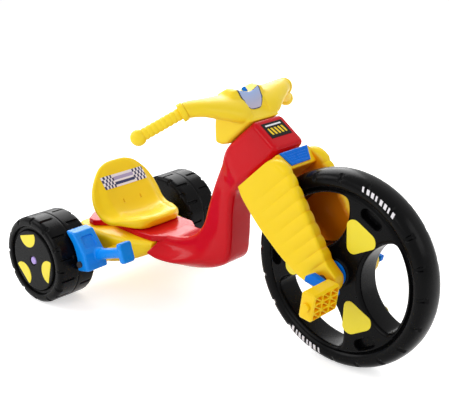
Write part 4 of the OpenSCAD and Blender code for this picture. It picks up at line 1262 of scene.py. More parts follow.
@dataclass
class Fork:
    """Ribbed yellow fork in two halves, with the ribbed blue plate on its crown."""

    height: float = 251.0
    leg_in: float = 46.0
    leg_t: float = 28.0
    back: float = 78.0
    front: float = 62.0
    foot_share: float = 0.42
    end_r: float = 31.2
    lean: float = 0.13
    soft_r: Numbers = (4.0, 13.0)
    hard_r: Numbers = (4.0, 7.0)
    round_share: float = 0.4
    leg_start: float = -9.0
    leg_gap: float = 4.0
    ribs: int = 7
    rib_low: float = 25.1
    rib_high: float = 200.8
    rib_bump: float = 3.0
    rib_deep: float = 2.8
    rib_power: float = 0.7
    rib_fade: float = 1.2
    rib_from: float = 0.4
    rib_over: float = 0.5
    crown_t: float = 38.0
    crown_front: float = 43.0
    crown_back: float = 68.6
    crown_round: float = 4.0
    crown_edge: float = 0.4
    crown_lap: float = 3.0
    gap: float = 0.05
    back_shares: Rows = ((0.66, 0.12), (0.85, 0.32), (0.93, 0.47), (1.00, 0.64), (1.00, 0.88), (0.90, 1.00))
    front_shares: Rows = ((1.00, 0.83), (0.95, 0.89), (0.84, 0.94), (0.66, 0.98), (0.42, 1.00))
    plate_t: float = 4.0
    plate_half: Numbers = (29.0, 43.0)
    plate_h: float = 31.0
    plate_drop: float = 0.3
    plate_edge: float = 1.4
    plate_ribs: int = 6
    plate_columns: int = 14
    plate_deep: Numbers = (1.1, 0.6)
    plate_rims: Numbers = (8.0, 12.0)
    plate_field: Numbers = (0.88, 0.1)
    plate_slope: float = 30.0

    def curve(self, shares: Rows, reach: float) -> np.ndarray:
        """Heights and reaches of a smooth edge, from its shares of a reach and of the height."""
        q = np.array(shares)
        return spline(np.stack([q[:, 1] * self.height, q[:, 0] * reach], 1), 8)

    def edges(self, s: np.ndarray) -> tuple[np.ndarray, np.ndarray]:
        """Rear and front reach of a leg, without its ribs.

        Args:
            s: heights over the hub.

        Returns:
            Both reaches at those heights.
        """
        foot = arc((0.0, 0.0), self.end_r, -89, -20, 14)[:, ::-1]
        rear = np.vstack([foot, self.curve(self.back_shares, self.back)])
        low = np.array([[self.rib_low, self.foot_share * self.front], [self.rib_high, self.front]])
        ahead = np.vstack([foot, low, self.curve(self.front_shares, self.front)])
        return -np.interp(s, rear[:, 0], rear[:, 1]), np.interp(s, ahead[:, 0], ahead[:, 1])

    def leg(self) -> Shell:
        """Left leg: rounded sections carried up the leg, with soft ribs on its front and outer face.

        The ribs follow the absolute sine of the height over the rib pitch, so the valleys are sharp
        and the crests round, and they fade out towards the rear edge.

        Returns:
            The closed surface.
        """
        end = self.end_r * np.sin(np.radians(np.linspace(-88, -20, 16)))
        s = np.concatenate([end, np.linspace(self.leg_start, self.height - self.leg_gap, 260)])
        rear, front = self.edges(s)
        share = (s - self.rib_low) / (self.rib_high - self.rib_low)
        t = np.clip(share, 0, 1)
        phase = self.ribs * share
        ribbed = np.abs(phase - self.ribs / 2) < (self.ribs + 1) / 2
        rib = np.where(ribbed, np.abs(np.sin(np.pi * phase)) ** self.rib_power, 1.0)
        front = front + self.rib_bump * rib * ease(phase + 0.5) - self.lean * self.leg_t * t
        a = np.linspace(0, np.pi / 2, 9)[None, :]
        most = (front - rear) * self.round_share
        soft, hard = (np.clip(mix(*r, t), 0, most)[:, None] for r in (self.soft_r, self.hard_r))
        rear, front = rear[:, None], front[:, None]
        fill = np.linspace(0, 1, 26)[None, 1:-1]
        low, high = self.leg_in, self.leg_in + self.leg_t
        across = mix(front - soft, rear + hard, fill)
        reach = np.hstack(
            [
                front - soft * (1 - np.cos(a)),
                across,
                rear + hard * (1 - np.sin(a)),
                rear + hard * (1 - np.cos(a)),
                mix(rear + hard, front - soft, fill),
                front - soft * (1 - np.sin(a)),
            ]
        )
        y = np.hstack(
            [
                high - soft * (1 - np.sin(a)),
                np.full_like(across, high),
                high - hard * (1 - np.cos(a)),
                low + hard * (1 - np.sin(a)),
                np.full_like(across, low),
                low + soft * (1 - np.cos(a)),
            ]
        )
        fade = ease((reach - rear) / (front - rear) * self.rib_fade)
        outer = ease((y - mix(low, high, self.rib_from)) / (self.rib_over * self.leg_t))
        y = y - self.rib_deep * (1 - rib)[:, None] * fade * outer
        return Shell.grid(np.stack([reach, y, np.repeat(s[:, None], reach.shape[1], 1)], -1))

    def build(self) -> None:
        """Builds both halves and the plate."""
        leg = self.leg()
        plan = rounded_box(self.crown_front + self.crown_back, self.crown_t, self.crown_round, 2.0)
        plan += np.array([(self.crown_front - self.crown_back) / 2, self.height - self.crown_t / 2])
        crown = slab(plan, self.gap, self.leg_in + self.crown_lap, self.crown_edge)
        for side in Side:
            parts = [STEER.stand(part.mirrored(side)) for part in (leg, crown)]
            Piece(f"fork_leg_{side.label}", parts, YELLOW).ride("steering", f"fork_{side.label}")
        self.plate()

    def plate(self) -> None:
        """Blue plate: a trapezoid whose face carries fine cross ribs, as sines of height and width."""
        u, v = np.meshgrid(np.linspace(-1, 1, 41), np.linspace(0, 1, 61))
        side, end = self.plate_rims
        edge = ease((1 - np.abs(u)) * side) * ease(v * end) * ease((1 - v) * end)
        ribs, columns = (
            0.5 - 0.5 * np.cos(2 * np.pi * n * t) for n, t in ((self.plate_ribs, v), (self.plate_columns, u))
        )
        half, start = self.plate_field
        field = 1.0
        for inside in (half - np.abs(u), v - start, 1 - start - v):
            field = field * ease(inside * self.plate_slope)
        deep, shallow = self.plate_deep
        relief = edge * self.plate_edge - field * (deep * ribs + shallow * columns)
        y = u * mix(*self.plate_half, v)
        s = self.height - self.plate_drop - self.plate_h * (1 - v)
        face = np.stack([self.crown_front + self.plate_t - self.plate_edge + relief, y, s], -1)
        back = np.stack([np.full_like(y, self.crown_front + self.gap), y, s], -1)
        around = np.stack([face, back], 2)
        sheets = [face, back, around[0], around[:, -1], around[-1, ::-1], around[::-1, 0]]
        shells = [STEER.stand(Shell.sheet(rows)) for rows in sheets]
        Piece("crown_plate", shells, BLUE).ride("steering", "grille_plate")


@dataclass
class Handlebar:
    """Yellow console with two lobes and swept arms, its grips, its screen print and its knob."""

    bar_s: float = LAYOUT.head_s + LAYOUT.head_h + 2.0
    back: float = 110.0
    height: float = 104.0
    width: float = 100.0
    elbow_y: float = 150.0
    elbow_h: float = 74.0
    grip_d: float = 25.0
    ball_d: float = 33.0
    collar_d: float = 38.0
    collar_t: float = 11.0
    rings: int = 8
    ring_deep: float = 1.5
    ring_power: float = 0.7
    grip_way: Numbers = (-72.0, 76.0, 0.0)
    turn_share: float = 0.6
    screen_half: float = 33.0
    screen_foot: float = 363.0
    screen_top: float = 404.0
    screen_ears: float = 11.0
    screen_ear_power: float = 1.7
    screen_round: float = 2.3
    screen_reach: Numbers = (18.0, 29.5)
    screen_rise: float = 50.0
    knob_reach: float = 16.5
    knob_r: float = 5.0
    knob_h: float = 11.8
    knob_share: float = 0.66
    knob_edge: float = 1.5
    knob_dome: float = 0.6
    outline: Rows = (
        (0.25, 0.00),
        (0.16, 0.28),
        (0.245, 0.70),
        (0.10, 0.86),
        (-0.13, 0.91),
        (-0.49, 0.55),
        (-0.79, 0.18),
        (-0.70, 0.07),
        (-0.55, 0.00),
    )
    sections: Rows = (
        (-1.00, 0.72, 0.90),
        (-0.96, 0.88, 0.97),
        (-0.86, 0.96, 1.00),
        (-0.62, 1.00, 0.99),
        (0.00, 1.00, 0.86),
        (0.62, 1.00, 0.99),
        (0.86, 0.96, 1.00),
        (0.96, 0.88, 0.97),
        (1.00, 0.72, 0.90),
    )
    middle: Numbers = (-0.30, 0.45)
    arm: Rows = (
        (0.18, 0.02, 0.640, 0.92, 1.58, 0.50),
        (0.36, 0.03, 0.645, 0.88, 1.56, 0.50),
        (0.56, 0.01, 0.761, 0.82, 1.26, 0.42),
        (0.77, -0.03, 0.900, 0.74, 0.93, 0.30),
        (0.915, -0.08, 0.983, 0.70, 0.77, 0.12),
        (1.00, -0.105, 1.00, 0.70, 0.70, 0.00),
    )

    def console(self) -> Shell:
        """Console: its side outline, drawn in about its middle towards both ends of its width.

        Returns:
            The closed surface.
        """
        size = np.array([self.back, self.height])
        x, z = (dense(np.array(self.outline) * size, 4.0, True) / size).T[:, None, :]
        place, share, lobe = spline(np.array(self.sections), 6).T[:, :, None]
        mx, mz = self.middle
        tall = np.where(z > mz, z * lobe, z)
        reach = mix(mx, x, share) * self.back
        rise = self.bar_s + mix(mz, tall, share) * self.height
        y = place * self.width / 2 + 0 * reach
        return Shell.grid(np.stack([reach, y, rise], -1))

    def elbows(self, rows: np.ndarray) -> np.ndarray:
        """Middles of the arm's sections: reach, Y and height."""
        height = self.bar_s + rows[:, 2] * self.elbow_h
        return np.stack([rows[:, 1] * self.back, rows[:, 0] * self.elbow_y, height], 1)

    def arm_shell(self) -> Shell:
        """Left arm: ovals along its path that turn from facing out to facing along the grip.

        An oval is half a thickness times the cosine of the turn forwards plus half a height times its
        sine downwards, and its lower edge leans forwards by a third share of the sine.

        Returns:
            The closed surface.
        """
        rows = spline(np.array(self.arm), 8)
        k = ease((rows[:, :1] - self.turn_share) / (1 - self.turn_share))
        n = mix(np.array([[0.0, 1.0, 0.0]]), unit(np.array(self.grip_way))[None], k)
        n /= np.linalg.norm(n, axis=1, keepdims=True)
        e = np.stack([n[:, 1], -n[:, 0], 0 * n[:, 0]], 1)
        e /= np.linalg.norm(e, axis=1, keepdims=True)
        f = np.cross(n, e)
        t = turns(48)[None, :, None]
        thick, tall, lean = (self.grip_d * rows[:, c, None, None] for c in (3, 4, 5))
        forward, down = thick * np.cos(t) + lean * np.sin(t), tall * np.sin(t)
        return Shell.grid(self.elbows(rows)[:, None] + forward * e[:, None] + down * f[:, None])

    def build(self) -> None:
        """Builds the moulding, the grips, the print and the knob."""
        arm, grip = self.arm_shell(), self.grip()
        parts = [self.console()] + [arm.mirrored(side) for side in Side]
        moulding = Piece("handlebar_moulding", [STEER.stand(p) for p in parts], BAR_YELLOW).fused(2.2, 7)
        moulding.ride("steering", "handlebar")
        for side in Side:
            piece = Piece(f"hand_grip_{side.label}", [STEER.stand(grip.mirrored(side))], BAR_YELLOW)
            piece.ride("steering", f"grip_{side.label}")
        self.screen(moulding)
        self.knob()

    def grip(self) -> Shell:
        """Left grip, turned about its own axis: collar, ring ribs as a sine, and a ball.

        Returns:
            The closed surface.
        """
        way = np.array(self.grip_way)
        length = np.linalg.norm(way)
        end = length - self.ball_d / 3
        z = np.linspace(self.collar_t, end, 120)
        pitch = (length - self.collar_t - self.ball_d / 3) / self.rings
        rib = np.abs(np.sin(np.pi * (z - self.collar_t) / pitch)) ** self.ring_power
        r, c = self.grip_d / 2, self.collar_d / 2
        corners = np.array([[0, 0], [c, 0], [c, self.collar_t], [r, self.collar_t + 1]])
        ringed = np.stack([r - self.ring_deep * (1 - rib), z], 1)
        ball = arc((0.0, length), self.ball_d / 2, -42, 90, 24)
        profile = np.vstack([soften(corners, 0.5, 2.0, False), ringed, ball])
        profile[-1, 0] = 0.0
        made = revolved(profile, 56)
        n = way / length
        e = np.array([n[1], -n[0], 0.0]) / np.hypot(n[0], n[1])
        f = np.cross(n, e)
        q, elbow = made.points, self.elbows(np.array(self.arm[-1:]))[0]
        return made.moved(elbow + q[:, :1] * e + q[:, 1:2] * n + q[:, 2:] * f)

    def screen(self, moulding: Piece) -> None:
        """Tinted screen print: a shield whose top edge dips, laid on the console's face.

        Args:
            moulding: the piece that carries the print.
        """
        u, v = np.meshgrid(np.linspace(-1, 1, 45), np.linspace(0.02, 1, 33))
        wide = (1 - (1 - v) ** self.screen_round) ** (1 / self.screen_round)
        top = self.screen_top + self.screen_ears * np.abs(u) ** self.screen_ear_power
        s = mix(self.screen_foot, top, v)
        reach = mix(*self.screen_reach, (s - self.screen_foot) / self.screen_rise)
        sheet = Shell.sheet(STEER.place(np.stack([reach, self.screen_half * u * wide, s], -1)))
        Piece("screen_print", [sheet], SCREEN_PRINT).laid_on(moulding).ride("steering")

    def knob(self) -> None:
        """Blue knob with a domed top on the console."""
        ring = circle((self.knob_reach, 0.0), self.knob_r, 40)
        foot = self.bar_s + self.knob_share * self.height
        knob = Shell.grid(puffed(ring, foot, foot + self.knob_h, self.knob_edge, self.knob_dome))
        Piece("console_knob", [STEER.stand(knob)], BLUE).ride("steering", "dash_knob")


@dataclass
class FrontWheel:
    """Black moulded front wheel with three windows, badges, prints and blue hub flanges."""

    radius: float = LAYOUT.front_r
    tyre_w: float = 66.0
    tyre_depth: float = 41.0
    tyre_round: float = 2.2
    web_w: float = 62.0
    web_lap: float = 33.0
    valley: float = 6.0
    valley_slope: float = 8.0
    window_c: float = 150.0
    window_r: float = 96.0
    window_rim: float = 159.0
    window_edge: float = 9.0
    edge_share: float = 0.85
    window_power: int = 14
    notches: int = 20
    notch: Numbers = (5.0, 9.0, 11.0)
    notch_drop: float = 20.0
    notch_slopes: Numbers = (1.6, 2.0, 4.0)
    hub_r: float = 33.0
    hub_y: float = 35.1
    hub_lap: float = 3.0
    hub_taper: float = 4.0
    hub_drum: float = 20.0
    flange: Rows = ((7.0, 0.0), (27.0, 0.0), (27.0, 3.6), (20.0, 5.0), (14.0, 8.5), (7.0, 8.5))
    badge: Numbers = (73.0, 106.0, 18.0, 14.0, 18.0)
    badge_sunk: float = 1.0
    badge_proud: float = 0.6
    badge_edge: float = 0.5
    oval: Numbers = (148.0, 14.0, 10.5, 14.0)
    oval_slope: float = 2.4
    columns: int = 168
    oval_rays: Numbers = (94.0, 118.0, 64)
    middle: float = 110.0
    mark_arcs: Rows = ((-75.0, 57.0, 80.0), (99.0, 74.0, 100.0))
    mark_count: int = 8
    mark_pitch: float = 3.2
    mark_widths: Numbers = (1.2, 1.9, 1.9)
    mark_lean: float = 1.2
    mark_lift: float = 0.4

    def section(self, a: np.ndarray, lift: float = 0.0) -> tuple[np.ndarray, np.ndarray]:
        """Radius and Y of the tyre's section, a superellipse, at angles from its tread.

        Args:
            a: angles in radians.
            lift: how far outside the tyre.

        Returns:
            The radii, then the Y values.
        """
        power = 2 / self.tyre_round
        r = self.radius - self.tyre_depth / 2 + bent(np.cos(a), power) * (self.tyre_depth / 2 + lift)
        return r, bent(np.sin(a), power) * (self.tyre_w / 2 + lift)

    def tyre(self) -> Shell:
        """Tyre: its section carried round the axle, with notches pressed into both shoulders.

        Returns:
            The closed surface.
        """
        r, y = self.section(turns(72))
        turn = turns(480)[:, None]
        deep, wide, long = self.notch
        pitch = 2 * np.pi / self.notches
        near = np.abs((turn + pitch / 2) % pitch - pitch / 2) * self.radius
        side_slope, end_slope, drop_slope = self.notch_slopes
        shoulder = ease((r - self.radius + self.notch_drop) / drop_slope)
        shoulder = ramp(np.abs(y) - self.tyre_w / 2 + long, end_slope) * shoulder
        r = r[None] - deep * ramp(wide / 2 - near, side_slope) * shoulder[None]
        y = np.repeat(y[None], len(turn), 0)
        rows = np.stack([r * np.cos(turn), y, -r * np.sin(turn)], -1)
        return Shell.grid(np.concatenate([rows, rows[:1]]), capped=False)

    def rays(self) -> tuple[np.ndarray, np.ndarray, np.ndarray, np.ndarray]:
        """Distances from the middle of a window to its edge and to the edge of its third of the wheel.

        Rays leave the middle at even angles, and closer together towards the oval recesses. The
        window's edge is the softened least of the distances to the window circle and to the rim
        circle. The third is bounded by the hub, the tyre and the two spoke lines.

        Returns:
            Angles, distances to the window's edge and to the third's edge, then which rays end on a
            spoke line.
        """
        start, end, count = self.oval_rays
        fine = np.radians(np.linspace(start, end, count))
        a = np.unique(np.concatenate([turns(self.columns), fine, 2 * np.pi - fine]).round(6))
        m, never, least = self.middle, 1e6, 1e-6

        def reach(centre: float, radius: float, far: bool) -> np.ndarray:
            """Distance along each ray to a circle about a place on the X axis.

            Args:
                centre: X of the circle's middle.
                radius: its radius.
                far: whether a ray ends where it leaves the circle, not where it enters it.

            Returns:
                The distances, very large where a ray misses.
            """
            b = (m - centre) * np.cos(a)
            inside = b * b - (m - centre) ** 2 + radius**2
            root = np.sqrt(np.maximum(inside, 0.0))
            return np.where((inside >= 0) & (far | (b < 0)), -b + (root if far else -root), never)

        n = self.window_power
        window = reach(self.window_c, self.window_r, True) ** -n + reach(0, self.window_rim, True) ** -n
        limit = reach(0, self.radius - self.web_lap, True)
        limit = np.minimum(limit, reach(0, self.hub_r - self.hub_lap, False))
        third = math.radians(60)
        slants = (np.sin(a - third), np.sin(-a - third))
        lines = [np.where(s > least, m * math.sin(third) / np.maximum(s, least), never) for s in slants]
        line = np.minimum(*lines)
        return a, window ** (-1 / n), np.minimum(line, limit), line < limit

    def third(self) -> Shell:
        """One third of the web, as rows from the outside of one face through the window to the other.

        Rows run along the rays from the third's edge to the window, over a quarter round, along the
        window's wall and back on the other face. Walls close it at the hub and at the tyre.

        Returns:
            The surface, open along the spokes.
        """
        a, window, end, spoke = self.rays()
        half = self.web_w / 2
        edge = np.minimum(self.window_edge, self.edge_share * (end - window))
        lip = np.linspace(0, np.pi / 2, 7)[:, None]
        face = mix(window + edge, end, np.linspace(1, 0, 37)[:-1, None])
        bend = window + edge * (1 - np.sin(lip))
        level, drop = np.full_like(face, half), half - edge * (1 - np.cos(lip))
        d = np.vstack([face, bend, window[None], bend[::-1], face[::-1]])
        y = np.vstack([level, drop, 0 * window[None], -drop[::-1], -level])
        x, z = self.middle + d * np.cos(a), d * np.sin(a)
        valley = self.valley * ease((np.hypot(x, z) - self.radius + self.tyre_depth) / self.valley_slope)
        y = y - np.sign(y) * (self.sunk(x, z) + valley) * (np.abs(y) > half - 0.1)
        shell = Shell.grid(np.stack([x, y, z], -1), capped=False)
        j = np.arange(len(a))
        k = np.roll(j, -1)
        last = (len(d) - 1) * len(a)
        walls = np.stack([j, k, last + k, last + j], 1)[~(spoke & spoke[k])]
        return Shell(shell.points, np.vstack([shell.quads, walls]), shell.tris, shell.uv)

    def sunk(self, x: np.ndarray, z: np.ndarray) -> np.ndarray:
        """Depth of the oval recess on a spoke line, by distance to the oval.

        Args:
            x: places on the web along X.
            z: places on the web along Z.

        Returns:
            The depths.
        """
        turn = math.radians(60)
        along = x * math.cos(turn) + np.abs(z) * math.sin(turn)
        across = np.abs(np.abs(z) * math.cos(turn) - x * math.sin(turn))
        place, half, radius, deep = self.oval
        gap = np.hypot(along - place, np.maximum(across - half, 0.0)) - radius
        return deep * ramp(-gap, self.oval_slope)

    def triangle(self) -> np.ndarray:
        """Outline of a badge along a spoke: three arcs, softened.

        Returns:
            The points.
        """
        tip, out, half, r0, r1 = self.badge
        right = arc((out, -half), r1, -100, 0, 11)
        corners = [arc((tip, 0.0), r0, 120, 240, 13), right, right[::-1] * np.array([1, -1])]
        return soften(np.vstack(corners), 1.5, 3.0, True)

    def build(self) -> None:
        """Builds the wheel, its badges, its tyre marks and the flanges."""
        third = self.third()
        web = [third.turned_about_y(120 * k) for k in range(3)]
        end, drum = self.hub_r - self.hub_taper, self.hub_r + self.hub_lap
        half = np.array([[0, -self.hub_y], [end, -self.hub_y], [drum, -self.hub_drum]])
        hub = soften(np.vstack([half, half[::-1] * np.array([1, -1])]), 1.5, 3.0, False)
        for name, parts in (("front_tyre", [self.tyre(), revolved(hub, 96)]), ("front_web", web)):
            shells = [part.shifted(LAYOUT.front_hub) for part in parts]
            Piece(name, shells, BLACK).ride("front_wheel", "front_wheel")
        low, high = self.web_w / 2 - self.badge_sunk, self.web_w / 2 + self.badge_proud
        badge = slab(self.triangle(), low, high, self.badge_edge, self.badge_edge)
        outline = soften(np.array(self.flange) + np.array([0, self.hub_y]), 0.8, 1.2, True)
        ring = revolved(np.vstack([outline, outline[:1]]), 64)
        marks = self.marks()
        for side in Side:
            badges = [badge.mirrored(side).turned_about_y(120 * k + 60) for k in range(3)]
            Piece(f"wheel_badges_{side.label}", [b.shifted(LAYOUT.front_hub) for b in badges], LEMON).ride(
                "front_wheel", f"front_badges_{side.label}"
            )
            Piece(f"hub_ring_{side.label}", [ring.mirrored(side).shifted(LAYOUT.front_hub)], BLUE).ride(
                "front_wheel", f"hub_flange_{side.label}"
            )
        for side in Side:
            dashes = [mark.mirrored(side).shifted(LAYOUT.front_hub) for mark in marks]
            Piece(f"tyre_marks_{side.label}", dashes, WHITE_PRINT).walled().ride("front_wheel")

    def marks(self) -> list[Shell]:
        """Short dashes on the tyre's left side, in two arcs, lifted off the tyre's surface.

        Returns:
            One sheet per dash.
        """
        u, v = np.meshgrid(np.linspace(0, 1, 7), np.linspace(0, 1, 7))
        shells = []
        for start, low, high in self.mark_arcs:
            for k in range(self.mark_count):
                width = self.mark_widths[k % len(self.mark_widths)]
                turn = np.radians(start + self.mark_pitch * k + width * u + self.mark_lean * v)
                r, y = self.section(np.radians(mix(low, high, v)), self.mark_lift)
                shells.append(Shell.sheet(np.stack([r * np.cos(turn), y, -r * np.sin(turn)], -1)))
        return shells


@dataclass
class Cranks:
    """Blue crank arms and yellow waffled pedals."""

    drop: float = 13.0
    reach: float = 41.0
    width: float = 24.0
    taper: float = 0.7
    tail: float = 26.4
    inner: float = 82.3
    outer: float = 95.3
    arm_edge: float = 2.5
    pedal_in: float = 97.3
    pedal_out: float = 174.3
    pedal_h: float = 55.0
    pedal_t: float = 30.0
    pedal_r: float = 6.0
    pedal_edge: float = 3.0
    pedal_turn: float = 8.0
    pedal_rows: int = 84
    cells: int = 3
    rib: float = 5.0
    deep: float = 7.0
    wall_slope: float = 1.2
    slant_rib: float = 9.0
    tread_band: Numbers = (1.0, 0.5)

    def spindle(self, side: Side) -> np.ndarray:
        """Place of a pedal's spindle.

        Args:
            side: side of the pedal.

        Returns:
            The place, on the centre plane.
        """
        reach = -side.value * self.reach
        a = math.radians(self.drop)
        return LAYOUT.front_hub + np.array([reach * math.cos(a), 0, -reach * math.sin(a)])

    def arm(self) -> Shell:
        """Left crank arm: a slanted tail behind the axle, tapering to an arc round the spindle.

        Returns:
            The closed surface.
        """
        half = self.width / 2
        end = arc((self.reach, 0.0), half * self.taper, -90, 90, 25)
        tail = np.array([[-self.tail / 2, half], [-self.tail, 0.0], [-self.tail, -half]])
        return slab(soften(np.vstack([tail, end]), 1.2, 2.4, True), self.inner, self.outer, self.arm_edge)

    def pedal(self) -> Shell:
        """Left pedal: a rounded section carried along Y, with triangular pockets in both treads.

        The pockets are a depth taken off X where a place lies inside a cell and off its diagonal rib.

        Returns:
            The closed surface.
        """
        length, edge, rib = self.pedal_out - self.pedal_in, self.pedal_edge, self.rib
        ring = rounded_box(self.pedal_t, self.pedal_h, self.pedal_r, 0.85)
        bend = np.linspace(0, np.pi / 2, 5)
        ends, draw = edge * (1 - np.cos(bend)), edge * (1 - np.sin(bend))
        start = edge * 1.2
        y = np.concatenate([ends, np.linspace(start, length - start, self.pedal_rows), (length - ends)[::-1]])
        pull = np.concatenate([draw, np.zeros(self.pedal_rows), draw[::-1]])
        rows = np.stack([inset(ring, p) for p in pull])
        x, z = rows[..., 0], rows[..., 1]
        across, up = y[:, None] + 0 * x, z + self.pedal_h / 2
        inside, shares = 1.0, []
        for place, whole in ((across - rib, length), (up - rib, self.pedal_h)):
            pitch = (whole - rib) / self.cells
            inside = inside * self.within(place % pitch, pitch - rib) * self.within(place, whole - 2 * rib)
            shares.append(place % pitch / (pitch - rib))
        slant = np.abs(shares[0] - shares[1]) * self.slant_rib
        band, slope = self.tread_band
        face = ease((np.abs(x) - self.pedal_t / 2 + band) / slope)
        x = x - np.sign(x) * self.deep * inside * ease((slant - 1.0) / self.wall_slope) * face
        return Shell.grid(np.stack([x, self.pedal_in + across, z], -1))

    def within(self, place: np.ndarray, size: float) -> np.ndarray:
        """1 inside 0 to size, with a short slope at both ends."""
        return ramp(place, self.wall_slope) * ramp(size - place, self.wall_slope)

    def build(self) -> None:
        """Builds both arms and both pedals."""
        arm, pedal = self.arm(), self.pedal()
        for side in Side:
            name = f"pedal_{side.label}"
            turn = self.drop + (180 if side is Side.LEFT else 0)
            crank = arm.mirrored(side).turned_about_y(turn).shifted(LAYOUT.front_hub)
            Piece(f"crank_arm_{side.label}", [crank], BLUE).ride("front_wheel", f"crank_{side.label}")
            tread = pedal.mirrored(side).turned_about_y(self.pedal_turn).shifted(self.spindle(side))
            Piece(f"pedal_block_{side.label}", [tread], PEDAL_YELLOW).ride(name, name)


@dataclass
class RearWheels:
    """Wide black rear wheels with a seam, staggered slots, shoulder lugs, badges and caps."""

    radius: float = LAYOUT.rear_r
    inner: float = LAYOUT.rear_in
    outer: float = LAYOUT.rear_out
    hub_in: float = 110.6
    boss_r: float = 22.0
    shoulder: float = 11.3
    groove_r: float = 82.0
    groove_deep: float = 8.0
    groove_slope: float = 2.7
    disc_r: float = 70.0
    disc_y: float = 253.0
    slots: int = 12
    slot: Numbers = (5.0, 4.0, 34.0)
    slot_slopes: Numbers = (1.4, 1.6)
    tread_deep: float = 14.0
    tread_slope: float = 4.0
    lug_t: float = 8.0
    lug_past: float = 5.0
    seam: Numbers = (2.5, 1.5)
    seam_share: float = 0.7
    badge: Numbers = (31.0, 60.5, 28.0)
    badge_power: float = 0.9
    badge_turn: float = -106.5
    badge_sunk: float = 1.0
    badge_edge: float = 0.5
    badge_dome: float = 0.4
    cap_r: float = 9.0
    cap_l: float = 9.0
    cap_gap: float = 0.3
    cap_edge: float = 2.0
    socket_r: float = 11.0
    socket_y: float = 244.0

    def profile(self) -> np.ndarray:
        """Section of a left wheel from the inner hub over the tread to the socket in the face.

        Returns:
            Radius and Y along the section.
        """
        s, floor_y = self.shoulder, self.outer - self.groove_deep
        hub = [[0, self.hub_in], [self.boss_r, self.hub_in], [self.boss_r, self.inner]]
        low = arc((self.radius - s, self.inner + s), s, -90, 0, 7)
        high = arc((self.radius - s, self.outer - s), s, 0, 90, 7)
        face = [
            [self.groove_r, self.outer],
            [self.groove_r - self.groove_slope, floor_y],
            [self.disc_r + self.groove_slope, floor_y],
            [self.disc_r, self.disc_y],
            [self.socket_r, self.disc_y],
            [self.socket_r, self.socket_y],
            [0, self.socket_y],
        ]
        return soften(np.vstack([hub, low, high, face]), 1.6, 2.4, False)

    def relief(self, turn: np.ndarray, r: np.ndarray, y: np.ndarray) -> np.ndarray:
        """Depth taken off the tread: a seam, two rows of slots half a pitch apart, and shoulder lugs.

        Args:
            turn: angles round the axle.
            r: radii.
            y: places along the axle.

        Returns:
            Change of radius.
        """
        wide, deep, long = self.slot
        mid = (self.inner + self.outer) / 2
        pitch = 2 * np.pi / self.slots
        side, tip = self.slot_slopes

        def cut(shift: float, width: float, start: float, end: float) -> np.ndarray:
            """1 in the slots of one row.

            Args:
                shift: share of the pitch that the row is turned by.
                width: width of a slot round the tread.
                start: Y where a slot starts.
                end: Y where it ends.

            Returns:
                The share of the full depth.
            """
            near = np.abs((turn + pitch * (0.5 + shift)) % pitch - pitch / 2) * self.radius
            return ramp(width / 2 - near, side) * ramp(y - start, tip) * ramp(end - y, tip)

        gap, seam_deep = self.seam
        first, last = gap + long / 4, gap + long * 5 / 4
        rows = (
            cut(0.5, wide, mid + first, mid + last),
            cut(0.0, wide, mid - last, mid - first),
            cut(0.0, self.lug_t, self.outer - self.shoulder, self.outer + self.lug_past),
            cut(0.5, self.lug_t, self.inner - self.lug_past, self.inner + self.shoulder),
        )
        seam = seam_deep * np.maximum(1 - np.abs(y - mid) / (gap * self.seam_share), 0)
        tread = ease((r - self.radius + self.tread_deep) / self.tread_slope)
        return -np.maximum(np.max(rows, axis=0) * deep, seam) * tread

    def petal(self) -> np.ndarray:
        """Outline of a badge: half an ellipse that bulges towards the axle, with round corners.

        Returns:
            The points.
        """
        tip, out, half = self.badge
        a = np.radians(np.linspace(0, 180, 37))
        bulge = np.stack([out - (out - tip) * np.sin(a) ** self.badge_power, half * np.cos(a)], 1)
        return soften(bulge, 1.2, 5.0, True)

    def build(self) -> None:
        """Builds both wheels with their badges and caps."""
        wheel = revolved(self.profile(), 400, self.relief)
        low, high = self.disc_y - self.badge_sunk, self.disc_y + self.badge_edge
        badge = slab(self.petal(), low, high, self.badge_edge, self.badge_dome)
        foot = self.socket_y + self.cap_gap
        cap = barrel(self.cap_r, foot, foot + self.cap_l, self.cap_edge)
        hub = LAYOUT.rear_hub
        for side in Side:
            body = f"rear_wheel_{side.label}"
            Piece(f"rear_tyre_{side.label}", [wheel.mirrored(side).shifted(hub)], BLACK).ride(body, body)
            badges = [badge.mirrored(side).turned_about_y(120 * k + self.badge_turn) for k in range(3)]
            badges = [b.shifted(hub) for b in badges]
            Piece(f"tyre_badges_{side.label}", badges, LEMON).ride(body, f"rear_badges_{side.label}")
            lid = cap.mirrored(side).shifted(hub)
            Piece(f"hub_cap_{side.label}", [lid], LILAC).ride("frame", f"axle_cap_{side.label}")


